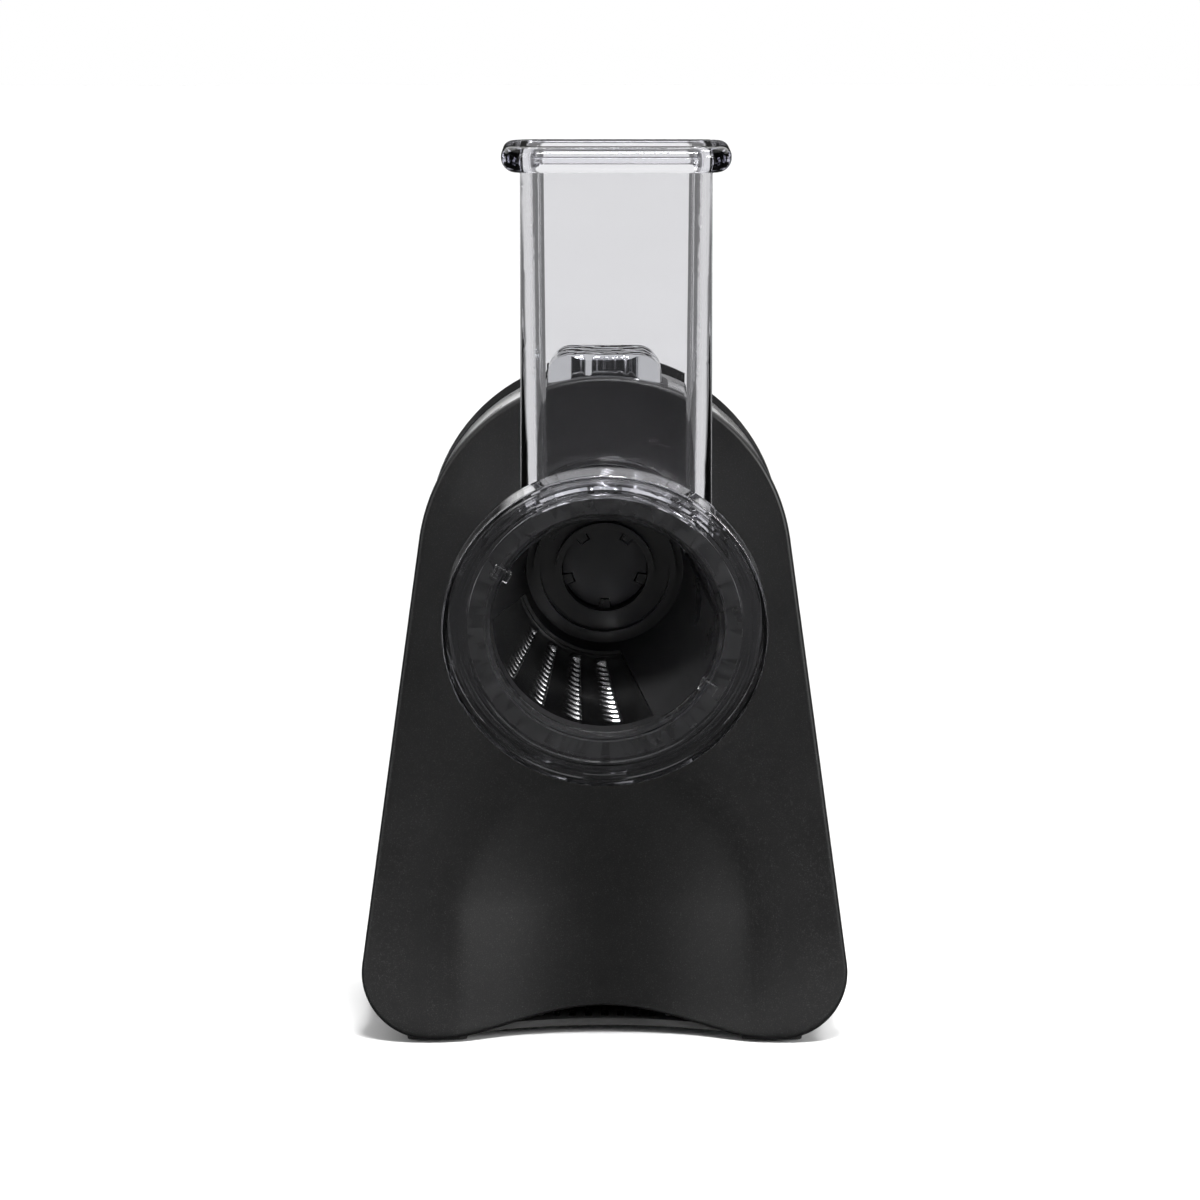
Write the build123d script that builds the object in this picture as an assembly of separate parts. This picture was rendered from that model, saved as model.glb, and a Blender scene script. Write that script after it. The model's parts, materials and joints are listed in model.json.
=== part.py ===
from build123d import *
import os
from math import acos, atan2, cos, degrees, hypot, pi, radians, sin, sqrt, tan

# A drum grater with an upright clear feed chute, driven by a small motor.
# The frame: X to the right, Y backwards, Z up, standing on Z = 0. Millimetres.
# "behind" distances are measured backwards from the flat front face of the fascia.
# "Drive" shapes are drawn about the drum's axis: x to the right, y up, z forwards.

# Housing, seen from the front: a dome, leaning sides and round bottom corners
DOME_R = 68.4
DOME_Z = 178.2
CORNER_R = 25.0
CORNER_X = 64.6
CORNER_Z = 26.5
BACK = 118.0            # back of the rear cover, behind the fascia
BACK_ROUND = 17.0       # rounding of the rear cover's back edge
WALL = 2.5              # plastic wall
FASCIA_PLATE = 3.0
FASCIA_SKIRT = 6.0
BAND_START = 6.3
BAND_END = 65.0
BAND_INSET = 1.6        # the steel band lies this far inside the fascia's outline
BAND_THICKNESS = 0.9
COVER_INSET = 1.3
BASE_TOP = 16.0         # height of the base plate's side walls
SEAM = 0.3              # gap between neighbouring covers

# Bowl recess: an upright cylinder under a ball, sunk into the lower fascia
BOWL_R = 88.0
BOWL_DEPTH = 17.0
BOWL_SHOULDER_Z = 49.0
FOOT_ARCH_HALF = 62.0
FOOT_ARCH_RISE = 9.3

# Drum axis, tipped down towards the outlet
TILT = radians(10.5)
AXIS_Z = 179.0

# Clear housing: shroud round the drum, bell mouth and feed chute
MOUTH_FRONT = 80.5
MOUTH_R = 57.5
MOUTH_WALL = 1.5
MOUTH_ROUND = 0.7
SHROUD_WALL = 2.5
SHROUD_BACK_R = 33.0    # inside radius at the back
SHROUD_FRONT_R = 46.5   # inside radius where the bell mouth starts
SHROUD_FRONT = 68.0
COLLAR_BACK = -7.0
CHUTE_X = 4.0
CHUTE_BEHIND = -45.0
CHUTE_WIDTH = 67.4
CHUTE_DEPTH = 50.0
CHUTE_ROUND = 5.0
CHUTE_BORE_ROUND = 6.0
CHUTE_WALL_TOP = 2.2    # the wall thickens downwards, so that the core draws out at the top
CHUTE_WALL_ROOT = 3.6
CHUTE_ROOT_Z = 192.0
RIM_Z = 334.0
RIM_HEIGHT = 9.2
RIM_WIDTH = 80.7
RIM_DEPTH = 63.5
RIM_ROUND = 13.0
BAYONET_ANGLES = (200, 270, 340)
BAYONET_HALF = 8

# Socket in the fascia for the clear housing
SOCKET_R = 37.2
SOCKET_FLOOR = -7.5
SOCKET_WALL = 2.5

# Drum
DRUM_BACK = 4.0
DRUM_FRONT = 72.5
DRUM_BACK_R = 30.0      # outside radius
DRUM_FRONT_R = 43.0
DRUM_WALL = 2.0
FLANGE_R = 48.4
FLANGE_THICKNESS = 3.0
HUB_R = 15.2
NOTCHES = 5
HUB_PHASE = 270
WINDOW_ANGLES = (238, 58)
WINDOW_BACK_HALF = 43
WINDOW_FRONT_HALF = 58
WINDOW_START = 13.0
WINDOW_END = 66.0
PLATE_THICKNESS = 0.7
PLATE_LAP = 2.4         # the steel laps this far over the window's edge
SHRED_COLUMNS = (-23.0, -5.5, 12.0, 29.5)  # degrees from the window's middle
SHRED_ROWS = 13

# Lock ring in the bell mouth
RING_R = 55.3
RING_BORE = 40.2
RING_WALL = 1.5
RING_FRONT = 80.0
RING_STEP = 3.0         # how far the inner face lies behind the rim
RING_ANGLES = (30, 150, 270)
TAB_ANGLES = (150, 330)

# Gears: a motor pinion, a stepped idler and the output gear, in line down the housing
PRESSURE = radians(25)
BACKLASH = 0.14
SLOW_MODULE = 1.0
FAST_MODULE = 0.8
PINION_TEETH = 12
OUTPUT_TEETH = 48
IDLER_TEETH = 60
IDLER_Y = -SLOW_MODULE * (PINION_TEETH + OUTPUT_TEETH) / 2
MOTOR_Y = IDLER_Y - FAST_MODULE * (PINION_TEETH + IDLER_TEETH) / 2
SHAFT_R = 4.0
SMALL_SHAFT_R = 2.0
RUNNING = 0.05          # radial clearance of a shaft in its bush

# Gearbox, along the drive axis
BOX_FRONT = -10.7
BOX_SPLIT = -25.0
BOX_BACK = -37.5
BOX_WALL = 2.2
BOX_TOP_R = 28.2
BOX_LOW_R = 14.0
EARS = ((-38, 14), (38, 14), (-38, -46), (38, -46))
EAR_R = 4.5
BUSH_R = 6.5
BUSH_LENGTH = 4.0
SEAL_R = 9.5
CIRCLIP_Z = BOX_BACK - 1.2

# Motor
CAN_R = 26.0
CAN_WALL = 1.8
CAN_BACK = -82.0
CAP_BACK = -90.0
CORE_R = 18.0
CORE_FRONT = -46.0
CORE_BACK = -70.0
SLOTS = 7
COMMUTATOR_R = 6.5
MOTOR_BOSS_R = 5.6
MOTOR_BUSH_R = 4.5
MOTOR_SCREWS = (-8.6, 8.6)
MAGNET_BACK = -74.0
BRUSH_Z = -77.5

# Push button in the top of the dome
BUTTON_WIDTH = 42.0
BUTTON_LENGTH = 40.0
BUTTON_ROUND = 13.0
BUTTON_BEHIND = 32.0
BUTTON_TOP = 253.6
BUTTON_SHOULDER = 9.0   # rounding of its upper corners, seen from the front
BUTTON_EDGE = 2.0
BUTTON_SKIRT = 238.0
BUTTON_CEILING = 247.0
BUTTON_GAP = 0.3
BEZEL_WALL = 2.0
BEZEL_FLOOR = 232.0
STEM_R = 3.0
STEM_END = 229.3
SWITCH_TOP = 224.5
SWITCH_SCREWS = (-6, 6)
SWITCH_SCREW_Z = 219.5
SWITCH_HALF = 3.2

# Screws and their posts
POSTS = ((-47, 208), (47, 208), (-66, 30), (66, 30))
POST_R = 5.3
POST_JOINT = 60.0       # the fascia's posts meet the rear cover's here
BASE_SCREW_BEHIND = (12, 38)
FOOT_PLACES = ((-62, 15.5), (62, 15.5), (-60, 92), (60, 92))

# Mains inlet, lead clamp and circuit board
GLAND_X = 30.0
GLAND_Z = 32.0
GLAND_BORE = 3.5
GLAND_NECK = 6.0
CLAMP_BEHIND = 57.0
CLAMP_Z = 13.0
CLAMP_POSTS = (20, 40)
BOARD_BEHIND = 50.0
BOARD_Z = 14.0
BOARD_POSTS = (-32, 4)

FRONT_REACH = ((MOUTH_FRONT - MOUTH_ROUND) * cos(TILT)
               + (MOUTH_R - MOUTH_ROUND) * sin(TILT) + MOUTH_ROUND)
FASCIA_Y = (FRONT_REACH - BACK) / 2
DRIVE = Plane(origin=(0, FASCIA_Y, AXIS_Z), x_dir=(1, 0, 0),
              z_dir=(0, -cos(TILT), -sin(TILT)))


# ---------------------------------------------------------------- helpers

def behind(distance):
    """Y of a point this far behind the fascia's front face."""
    return FASCIA_Y + distance


def slab(face, start, end):
    """A face drawn in X and Z, made solid from start to end behind the fascia."""
    return extrude(Plane.XZ.offset(-behind(start)) * face, amount=start - end)


def on_drive(shape):
    """Places a shape drawn about its own Z axis on the drum's axis."""
    return DRIVE.location * shape


def rod(radius, start, end, x=0, y=0):
    """A cylinder along Z from start to end."""
    low, high = min(start, end), max(start, end)
    return Pos(x, y, (low + high) / 2) * Cylinder(radius, high - low)


def tube(outer, inner, start, end, x=0, y=0):
    """A cylinder along Z with a bore right through."""
    low, high = min(start, end), max(start, end)
    return rod(outer, low, high, x, y) - rod(inner, low - 1, high + 1, x, y)


def rod_y(radius, start, end, x, z):
    """A cylinder running backwards from start to end behind the fascia."""
    return slab(Pos(x, z) * Circle(radius), start, end)


def turned(*points):
    """A solid of revolution about Z from (radius, height) corners."""
    return revolve(Plane.XZ * make_face(Polyline(*points, close=True)), Axis.Z)


def sector(outer, inner, start, end, angle, half):
    """A piece of a ring about Z, centred on an angle in degrees."""
    spread = radians(half)
    reach = 1.2 * outer / cos(spread)
    wedge = Polyline((0, 0), (reach * cos(spread), -reach * sin(spread)),
                     (reach * cos(spread), reach * sin(spread)), close=True)
    block = extrude(Plane.XY.offset(start) * make_face(wedge), amount=end - start)
    return Rot(0, 0, angle) * (block & (rod(outer, start, end) - rod(inner, start - 1, end + 1)))


def polar(radius, angle):
    """X and Y of a point at a radius and an angle in degrees."""
    return radius * cos(radians(angle)), radius * sin(radians(angle))


def box_between(low, high):
    """A box from its lowest to its highest corner."""
    size = [b - a for a, b in zip(low, high)]
    middle = [(a + b) / 2 for a, b in zip(low, high)]
    return Pos(*middle) * Box(*size)


def union(shapes):
    """All the shapes as one."""
    shapes = list(shapes)
    return shapes[0] + shapes[1:] if len(shapes) > 1 else shapes[0]


def screw(head_r, head_height, shank_r, length):
    """A pan-head screw along Z, its head below Z = 0 and its tip at the top."""
    head = rod(head_r, -head_height, 0)
    head = fillet(head.faces().sort_by(Axis.Z)[0].edges(), head_height * 0.4)
    slot = Pos(0, 0, -head_height) * (Box(head_r, 0.8, 1.6) + Box(0.8, head_r, 1.6))
    shank = rod(shank_r, 0, length)
    shank = chamfer(shank.faces().sort_by(Axis.Z)[-1].edges(), shank_r * 0.5)
    return head + shank - slot


# ---------------------------------------------------------------- housing

def side_lean():
    """Angle in degrees of the housing's sides from upright."""
    rise = DOME_Z - CORNER_Z
    span = hypot(rise, CORNER_X)
    return degrees(atan2(rise, -CORNER_X) - acos((CORNER_R - DOME_R) / span))


def outline(inset=0.0):
    """The housing's outline in X and Z, drawn in by an inset."""
    lean = side_lean()
    dome = DOME_R - inset
    corner = CORNER_R - inset
    right = CenterArc((CORNER_X, CORNER_Z), corner, -90, 90 + lean)
    top = CenterArc((0, DOME_Z), dome, lean, 180 - 2 * lean)
    left = CenterArc((-CORNER_X, CORNER_Z), corner, 180 - lean, 90 + lean)
    lines = (Line(right @ 1, top @ 0), Line(top @ 1, left @ 0), Line(left @ 1, right @ 0))
    return make_face([right, top, left, *lines])


def bowl_space(radius):
    """The space that a bowl takes: an upright cylinder closed by a ball."""
    centre_y = behind(BOWL_DEPTH - BOWL_R)
    ball = Pos(0, centre_y, BOWL_SHOULDER_Z) * Sphere(radius)
    drum = Pos(0, centre_y, 0) * rod(radius, -1, BOWL_SHOULDER_Z)
    return ball + drum


def foot_arch():
    """The space under the raised middle of the fascia's bottom edge."""
    low = CORNER_Z - CORNER_R
    ends = ((-FOOT_ARCH_HALF, low), (FOOT_ARCH_HALF, low))
    curve = Spline(ends[0], (0, low + FOOT_ARCH_RISE), ends[1],
                   tangents=((1, 0), (1, 0)))
    under = Polyline(ends[1], (FOOT_ARCH_HALF, low - 5), (-FOOT_ARCH_HALF, low - 5), ends[0])
    return slab(make_face([curve, under]), -1, BOWL_DEPTH + 3 * WALL)


def fascia_shell():
    """The front plate, its short skirt and the bulge behind the bowl recess."""
    block = slab(outline(), 0, FASCIA_SKIRT)
    block = fillet(block.faces().sort_by(Axis.Y)[0].edges(), 1.2)
    shell = block - slab(outline(WALL), FASCIA_PLATE, FASCIA_SKIRT + 1)
    bulge = bowl_space(BOWL_R + WALL) & slab(outline(WALL), 0.5, BOWL_DEPTH + 2 * WALL)
    return shell + bulge


def fascia_posts():
    """Screw posts for the rear cover, and pads for the gearbox's ears."""
    posts = [rod_y(POST_R, FASCIA_PLATE - 0.5, POST_JOINT, x, z) for x, z in POSTS]
    pads = [on_drive(rod(EAR_R, BOX_FRONT, 5, x, y)) for x, y in EARS]
    inside = slab(outline(WALL), 1, POST_JOINT + 1)
    return union(posts + [pad & inside for pad in pads])


def socket_cup():
    """The wall and floor of the oblique socket that takes the clear housing."""
    cup = on_drive(rod(SOCKET_R + SOCKET_WALL, SOCKET_FLOOR - SOCKET_WALL, 20))
    return cup & slab(outline(WALL), 0.5, 40)


def socket_tabs():
    """Tabs in the socket that the clear housing's lugs turn behind."""
    return [on_drive(sector(SOCKET_R + 1, SOCKET_R - 1.3, -3.2, -1.2, a, BAYONET_HALF))
            for a in BAYONET_ANGLES]


def front_fascia():
    """The black front moulding."""
    body = fascia_shell() + fascia_posts() + socket_cup()
    cuts = [bowl_space(BOWL_R), foot_arch()]
    cuts.append(on_drive(rod(SOCKET_R, SOCKET_FLOOR, 40)))
    cuts.append(on_drive(rod(SEAL_R, SOCKET_FLOOR - 5, SOCKET_FLOOR + 1)))
    cuts += [rod_y(1.5, 44, POST_JOINT + 1, x, z) for x, z in POSTS]
    cuts += [on_drive(rod(1.5, BOX_FRONT - 1, BOX_FRONT + 6, x, y)) for x, y in EARS]
    for x, z in POSTS[2:]:
        cuts += [Pos(x, behind(y), 0) * rod(1.3, z - POST_R - 1, z + 2) for y in BASE_SCREW_BEHIND]
    body = body - cuts
    inside = slab(outline(WALL), 0.8, 40)
    return body + [tab & inside for tab in socket_tabs()]


def button_plan(grow):
    """The button's outline from above, grown by a margin."""
    plan = RectangleRounded(BUTTON_WIDTH + 2 * grow, BUTTON_LENGTH + 2 * grow,
                            BUTTON_ROUND + grow)
    return Pos(0, behind(BUTTON_BEHIND)) * plan


def upright(face, low, high):
    """A face drawn in X and Y, made solid between two heights."""
    return extrude(Plane.XY.offset(low) * face, amount=high - low)


def steel_band():
    """The polished sheet wrapped round the sides and top."""
    ring = slab(outline(BAND_INSET), BAND_START, BAND_END)
    ring -= slab(outline(BAND_INSET + BAND_THICKNESS), BAND_START - 1, BAND_END + 1)
    ring -= box_between((-100, -100, -5), (100, 100, BASE_TOP + SEAM))
    return ring - upright(button_plan(BUTTON_GAP + BEZEL_WALL), 200, 260)


def cover_posts():
    """Tubes that carry the rear screws forward to the fascia's posts."""
    posts = [rod_y(POST_R, POST_JOINT + SEAM, BACK - 1, x, z) for x, z in POSTS]
    return union(posts)


def vent_slots(x_list, z_low, z_high, start, end, width=2.6):
    """Upright slots through a wall that faces backwards."""
    height = z_high - z_low
    slot = Rot(0, 0, 90) * SlotOverall(height, width)
    middle = (z_low + z_high) / 2
    return [slab(Pos(x, middle) * slot, start, end) for x in x_list]


def rear_cover():
    """The gloss black back half of the housing."""
    start = BAND_END + SEAM
    outer = slab(outline(COVER_INSET), start, BACK)
    outer = fillet(outer.faces().sort_by(Axis.Y)[-1].edges(), BACK_ROUND)
    inner = slab(outline(COVER_INSET + WALL), start - 1, BACK - WALL)
    inner = fillet(inner.faces().sort_by(Axis.Y)[-1].edges(), BACK_ROUND - WALL)
    shell = outer - inner + (cover_posts() & (outer + slab(outline(5), POST_JOINT, start)))
    cuts = [rod_y(3.6, 64, BACK + 1, x, z) for x, z in POSTS]
    cuts += [rod_y(1.7, POST_JOINT, 65, x, z) for x, z in POSTS]
    cuts += vent_slots([6 * i for i in range(-4, 5)], 128, 160, BACK - 2 * WALL, BACK + 1)
    cuts.append(rod_y(GLAND_NECK, BACK - 2 * WALL, BACK + 1, GLAND_X, GLAND_Z))
    cuts += [foot_plug(x, y, 0.0) for x, y in FOOT_PLACES if y > BAND_END]
    return shell - cuts


def base_posts():
    """Posts on the base plate for the circuit board and the cord clamp."""
    floor = CORNER_Z - CORNER_R + BAND_INSET
    board = [Pos(x, behind(BOARD_BEHIND), 0) * rod(3, floor + 1, BOARD_Z) for x in BOARD_POSTS]
    clamp = [Pos(x, behind(CLAMP_BEHIND), 0) * rod(3, floor + 1, CLAMP_Z) for x in CLAMP_POSTS]
    return board + clamp


def base_plate():
    """The black tray that closes the bottom between fascia and rear cover."""
    start, end = BAND_START, BAND_END
    tray = slab(outline(BAND_INSET), start, end) - slab(outline(BAND_INSET + WALL), start - 1, end + 1)
    tray &= box_between((-100, -100, -5), (100, 100, BASE_TOP))
    lift = POSTS[2][1] - POST_R - SEAM
    bosses = [Pos(x, behind(y), 0) * rod(4.6, 4, lift) for x, _ in POSTS[2:] for y in BASE_SCREW_BEHIND]
    tray = tray + bosses + base_posts()
    cuts = [bowl_space(BOWL_R + WALL + SEAM)]
    for x, _ in POSTS[2:]:
        cuts += [Pos(x, behind(y), 0) * rod(3.5, 0, 19) for y in BASE_SCREW_BEHIND]
        cuts += [Pos(x, behind(y), 0) * rod(1.6, 0, lift + 1) for y in BASE_SCREW_BEHIND]
    cuts += [Pos(x, behind(BOARD_BEHIND), 0) * rod(1.2, BOARD_Z - 6, BOARD_Z + 1) for x in BOARD_POSTS]
    cuts += [Pos(x, behind(CLAMP_BEHIND), 0) * rod(1.2, CLAMP_Z - 6, CLAMP_Z + 1) for x in CLAMP_POSTS]
    cuts += [foot_plug(x, y, 0.0) for x, y in FOOT_PLACES if y < BAND_END]
    cuts += [upright(Pos(6 * i, behind(36)) * SlotOverall(2.6 + 20, 2.6, rotation=90), 0, 8)
             for i in range(-5, 6)]
    return tray - cuts


def foot_plug(x, y, slack):
    """The stem that holds a foot in its hole."""
    return Pos(x, behind(y), 0) * rod(2.5 - slack, 1, 9)


def foot(x, y):
    """One rubber foot, shaped to the rounded bottom edge above it."""
    inset = BAND_INSET if y < BAND_END else COVER_INSET
    pad = Pos(x, behind(y), 0) * extrude(RectangleRounded(22, 15, 3), amount=8, taper=-14)
    pad -= slab(outline(inset), BAND_START - 10, BACK)
    return pad + foot_plug(x, y, 0.05)


def rubber_feet():
    """The four feet."""
    return [foot(x, y) for x, y in FOOT_PLACES]


def base_screws():
    """Screws up through the base plate into the fascia's lower posts."""
    return [Pos(x, behind(y), 19) * screw(3.2, 2.2, 1.25, 12)
            for x, _ in POSTS[2:] for y in BASE_SCREW_BEHIND]


def rear_cover_screws():
    """Screws from the back into the fascia's posts."""
    forwards = Rot(90, 0, 0) * screw(3.3, 2.4, 1.45, 18)
    return [Pos(x, behind(64), z) * forwards for x, z in POSTS]


# ---------------------------------------------------------------- button and switch

def button_bezel():
    """The cup that guides the button, with a leg for the switch."""
    tube_wall = upright(button_plan(BUTTON_GAP + BEZEL_WALL), BEZEL_FLOOR, 255)
    tube_wall &= slab(outline(0.8), 5, 62)
    tube_wall -= upright(button_plan(BUTTON_GAP), BEZEL_FLOOR + BEZEL_WALL, 256)
    leg_front = BUTTON_BEHIND + SWITCH_HALF
    leg = box_between((-9, behind(leg_front), 213.5), (9, behind(leg_front + 2), BEZEL_FLOOR + 1))
    cup = tube_wall + leg - Pos(0, behind(BUTTON_BEHIND), 0) * rod(STEM_R + 0.3, 225, 240)
    return cup - [rod_y(1.15, leg_front - 1, leg_front + 3, x, SWITCH_SCREW_Z) for x in SWITCH_SCREWS]


def power_button():
    """The chrome push button, with its stem."""
    front = RectangleRounded(BUTTON_WIDTH, BUTTON_WIDTH, BUTTON_SHOULDER)
    cap = slab(Pos(0, BUTTON_TOP - BUTTON_WIDTH / 2) * front, BUTTON_BEHIND - BUTTON_LENGTH / 2,
               BUTTON_BEHIND + BUTTON_LENGTH / 2)
    cap = fillet(cap.faces().filter_by(Axis.Y).edges(), BUTTON_EDGE)
    cap &= upright(button_plan(0), BUTTON_SKIRT, BUTTON_TOP + 1)
    cap -= upright(button_plan(-WALL), BUTTON_SKIRT - 1, BUTTON_CEILING)
    stem = Pos(0, behind(BUTTON_BEHIND), 0) * rod(STEM_R, STEM_END, BUTTON_CEILING + 0.5)
    return cap + stem


def button_spring():
    """The coil spring under the button."""
    wire, coil_r, turns = 0.45, 5.2, 5
    low = BEZEL_FLOOR + BEZEL_WALL + wire + 0.02
    height = BUTTON_CEILING - 0.06 - wire - low
    path = Helix(pitch=height / turns, height=height, radius=coil_r)
    coil = sweep(Plane(origin=path @ 0, z_dir=path % 0) * Circle(wire), path=path, is_frenet=True)
    return Pos(0, behind(BUTTON_BEHIND), low) * coil


def switch_body():
    """The microswitch under the button's stem."""
    low = SWITCH_TOP - 9.5
    case = box_between((-10, behind(BUTTON_BEHIND - SWITCH_HALF), low),
                       (10, behind(BUTTON_BEHIND + SWITCH_HALF), SWITCH_TOP))
    plunger = Pos(0, behind(BUTTON_BEHIND), 0) * rod(1.3, SWITCH_TOP - 1, SWITCH_TOP + 1.5)
    holes = [rod_y(1.2, BUTTON_BEHIND - 5, BUTTON_BEHIND + 5, x, SWITCH_SCREW_Z) for x in SWITCH_SCREWS]
    return case + plunger - holes


def switch_screws():
    """Two screws through the switch into the bezel's leg."""
    backwards = Rot(-90, 0, 0) * screw(2.1, 1.4, 1.05, 2 * SWITCH_HALF + 1.8)
    return [Pos(x, behind(BUTTON_BEHIND - SWITCH_HALF), SWITCH_SCREW_Z) * backwards
            for x in SWITCH_SCREWS]


# ---------------------------------------------------------------- mains inlet and board

def cord_gland():
    """The rubber bush that lines the mains inlet."""
    bush = rod_y(8.5, BACK - WALL - 3, BACK - WALL, GLAND_X, GLAND_Z)
    neck = rod_y(GLAND_NECK, BACK - WALL - 1, BACK - 0.2, GLAND_X, GLAND_Z)
    tail = rod_y(5.5, BACK - WALL - 12, BACK - WALL - 2, GLAND_X, GLAND_Z)
    bore = rod_y(GLAND_BORE, BACK - 30, BACK + 2, GLAND_X, GLAND_Z)
    return bush + neck + tail - bore


def cord_clamp():
    """The bar that holds the mains lead down on its posts."""
    middle = sum(CLAMP_POSTS) / 2
    bar = box_between((middle - 14, behind(CLAMP_BEHIND - 4), CLAMP_Z),
                      (middle + 14, behind(CLAMP_BEHIND + 4), CLAMP_Z + 5))
    bar = fillet(bar.edges().filter_by(Axis.Z), 3.5)
    groove = rod_y(3.2, CLAMP_BEHIND - 5, CLAMP_BEHIND + 5, middle, CLAMP_Z)
    holes = [Pos(x, behind(CLAMP_BEHIND), 0) * rod(1.5, CLAMP_Z - 1, CLAMP_Z + 6) for x in CLAMP_POSTS]
    return bar - groove - holes


def cord_clamp_screws():
    """Two screws down through the clamp."""
    return [Pos(x, behind(CLAMP_BEHIND), CLAMP_Z + 5) * Rot(180, 0, 0) * screw(2.6, 1.8, 1.15, 9)
            for x in CLAMP_POSTS]


def rectifier_board():
    """The circuit board with its rectifier diodes, capacitor and fuse."""
    middle = sum(BOARD_POSTS) / 2
    top = BOARD_Z + 1.6
    board = box_between((middle - 24, behind(BOARD_BEHIND - 12), BOARD_Z),
                        (middle + 24, behind(BOARD_BEHIND + 12), top))
    capacitor = box_between((middle - 12, behind(BOARD_BEHIND + 2), top - 0.5),
                            (middle + 10, behind(BOARD_BEHIND + 10), top + 13))
    capacitor = fillet(capacitor.edges().filter_by(Axis.Z), 1.5)
    diode = Rot(90, 0, 0) * Cylinder(1.6, 8)
    diodes = [Pos(middle - 9 + 6 * i, behind(BOARD_BEHIND - 6), top + 1.2) * diode for i in range(4)]
    holes = [Pos(x, behind(BOARD_BEHIND), 0) * rod(1.5, BOARD_Z - 1, top + 1) for x in BOARD_POSTS]
    return union([board, capacitor] + diodes) - holes


def board_screws():
    """Two screws that hold the circuit board."""
    return [Pos(x, behind(BOARD_BEHIND), BOARD_Z + 1.6) * Rot(180, 0, 0) * screw(2.6, 1.8, 1.15, 6)
            for x in BOARD_POSTS]


# ---------------------------------------------------------------- gears and gearbox

def involute(angle):
    """The involute function of a pressure angle."""
    return tan(angle) - angle


def gear_face(module, teeth, first_tooth):
    """A spur gear's face, with one tooth centred on an angle in degrees."""
    pitch_r = module * teeth / 2
    base_r = pitch_r * cos(PRESSURE)
    root_r = pitch_r - 1.25 * module
    tip_r = pitch_r + 0.95 * module
    half_pitch = pi / (2 * teeth) - BACKLASH / (4 * pitch_r)
    low_r = max(base_r, root_r)
    flank = []
    for step in range(4):
        r = low_r + (tip_r - low_r) * step / 3
        flank.append((r, half_pitch + involute(PRESSURE) - involute(acos(min(1.0, base_r / r)))))
    if root_r < base_r:
        flank.insert(0, (root_r, flank[0][1]))
    points = []
    for tooth in range(teeth):
        centre = radians(first_tooth) + 2 * pi * tooth / teeth
        points += [(r, centre - half) for r, half in flank]
        points += [(r, centre + half) for r, half in reversed(flank)]
    return make_face(Polyline(*[(r * cos(a), r * sin(a)) for r, a in points], close=True))


def gear(module, teeth, first_tooth, start, end, y):
    """A spur gear along the drive axis, between two heights."""
    face = Pos(0, y) * gear_face(module, teeth, first_tooth)
    return extrude(Plane.XY.offset(min(start, end)) * face, amount=abs(end - start))


def output_gear():
    """The large gear on the drum's shaft."""
    wheel = gear(SLOW_MODULE, OUTPUT_TEETH, -90, -16, -24, 0)
    wheel -= [tube(20, 9, -15, -18), tube(20, 9, -22, -25)]
    wheel -= [rod(3.2, -26, -15, *polar(14.5, 60 * i)) for i in range(6)]
    return on_drive(wheel - rod(SHAFT_R, -26, -14))


def idler_gear():
    """The stepped gear between the motor pinion and the output gear."""
    small = gear(SLOW_MODULE, PINION_TEETH, 90 + 180 / PINION_TEETH, -15, -26.5, IDLER_Y)
    large = gear(FAST_MODULE, IDLER_TEETH, -90, -26, -32, IDLER_Y)
    large -= tube(19, 8, -30, -33, 0, IDLER_Y)
    return on_drive(small + large - rod(SMALL_SHAFT_R + RUNNING, -34, -14, 0, IDLER_Y))


def motor_pinion():
    """The small gear on the motor's shaft."""
    pinion = gear(FAST_MODULE, PINION_TEETH, 90 + 180 / PINION_TEETH, -25.5, -32.5, MOTOR_Y)
    return on_drive(pinion - rod(SMALL_SHAFT_R, -34, -24, 0, MOTOR_Y))


def box_plan(inset):
    """The gearbox's outline: a large circle at the top and a smaller one at the motor."""
    top = BOX_TOP_R - inset
    low = BOX_LOW_R - inset
    span = -MOTOR_Y
    lean = acos((top - low) / span)
    side = [polar(1, -90 + degrees(lean)), polar(1, -90 - degrees(lean))]
    corners = [(low * side[0][0], MOTOR_Y + low * side[0][1]), (top * side[0][0], top * side[0][1]),
               (top * side[1][0], top * side[1][1]), (low * side[1][0], MOTOR_Y + low * side[1][1])]
    idler = Pos(0, IDLER_Y) * Circle(BOX_TOP_R - 1 - inset)
    ends = Circle(top) + Pos(0, MOTOR_Y) * Circle(low)
    return make_face(Polyline(*corners, close=True)) + ends + idler


def ear_bars():
    """Bars across the gearbox that end in its screw ears."""
    upper = Pos(0, EARS[0][1]) * SlotOverall(2 * (EARS[1][0] + EAR_R), 2 * EAR_R)
    lower = Pos(0, EARS[2][1]) * SlotOverall(2 * (EARS[1][0] + EAR_R), 2 * EAR_R)
    return upper + lower


def gearbox_half(front, plate_inside, back):
    """A gearbox half: a plate with a wall round it, open on the other side."""
    low, high = min(front, back), max(front, back)
    block = extrude(Plane.XY.offset(low) * (box_plan(0) + ear_bars()), amount=high - low)
    start, end = min(plate_inside, back), max(plate_inside, back)
    hollow = extrude(Plane.XY.offset(start) * box_plan(BOX_WALL), amount=end - start)
    holes = [rod(1.6, low - 1, high + 1, x, y) for x, y in EARS]
    return block - hollow - holes


def gearbox_front():
    """The gearbox's front half."""
    half = gearbox_half(BOX_FRONT, BOX_FRONT - BOX_WALL, BOX_SPLIT)
    half += rod(BUSH_R + 2, BOX_FRONT - BUSH_LENGTH, BOX_FRONT - 1)
    half += rod(4.5, BOX_FRONT - 4, BOX_FRONT - 1, 0, IDLER_Y)
    half -= rod(BUSH_R, -20, 0)
    return on_drive(half - rod(SMALL_SHAFT_R, BOX_FRONT - 8, BOX_FRONT - 1, 0, IDLER_Y))


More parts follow.
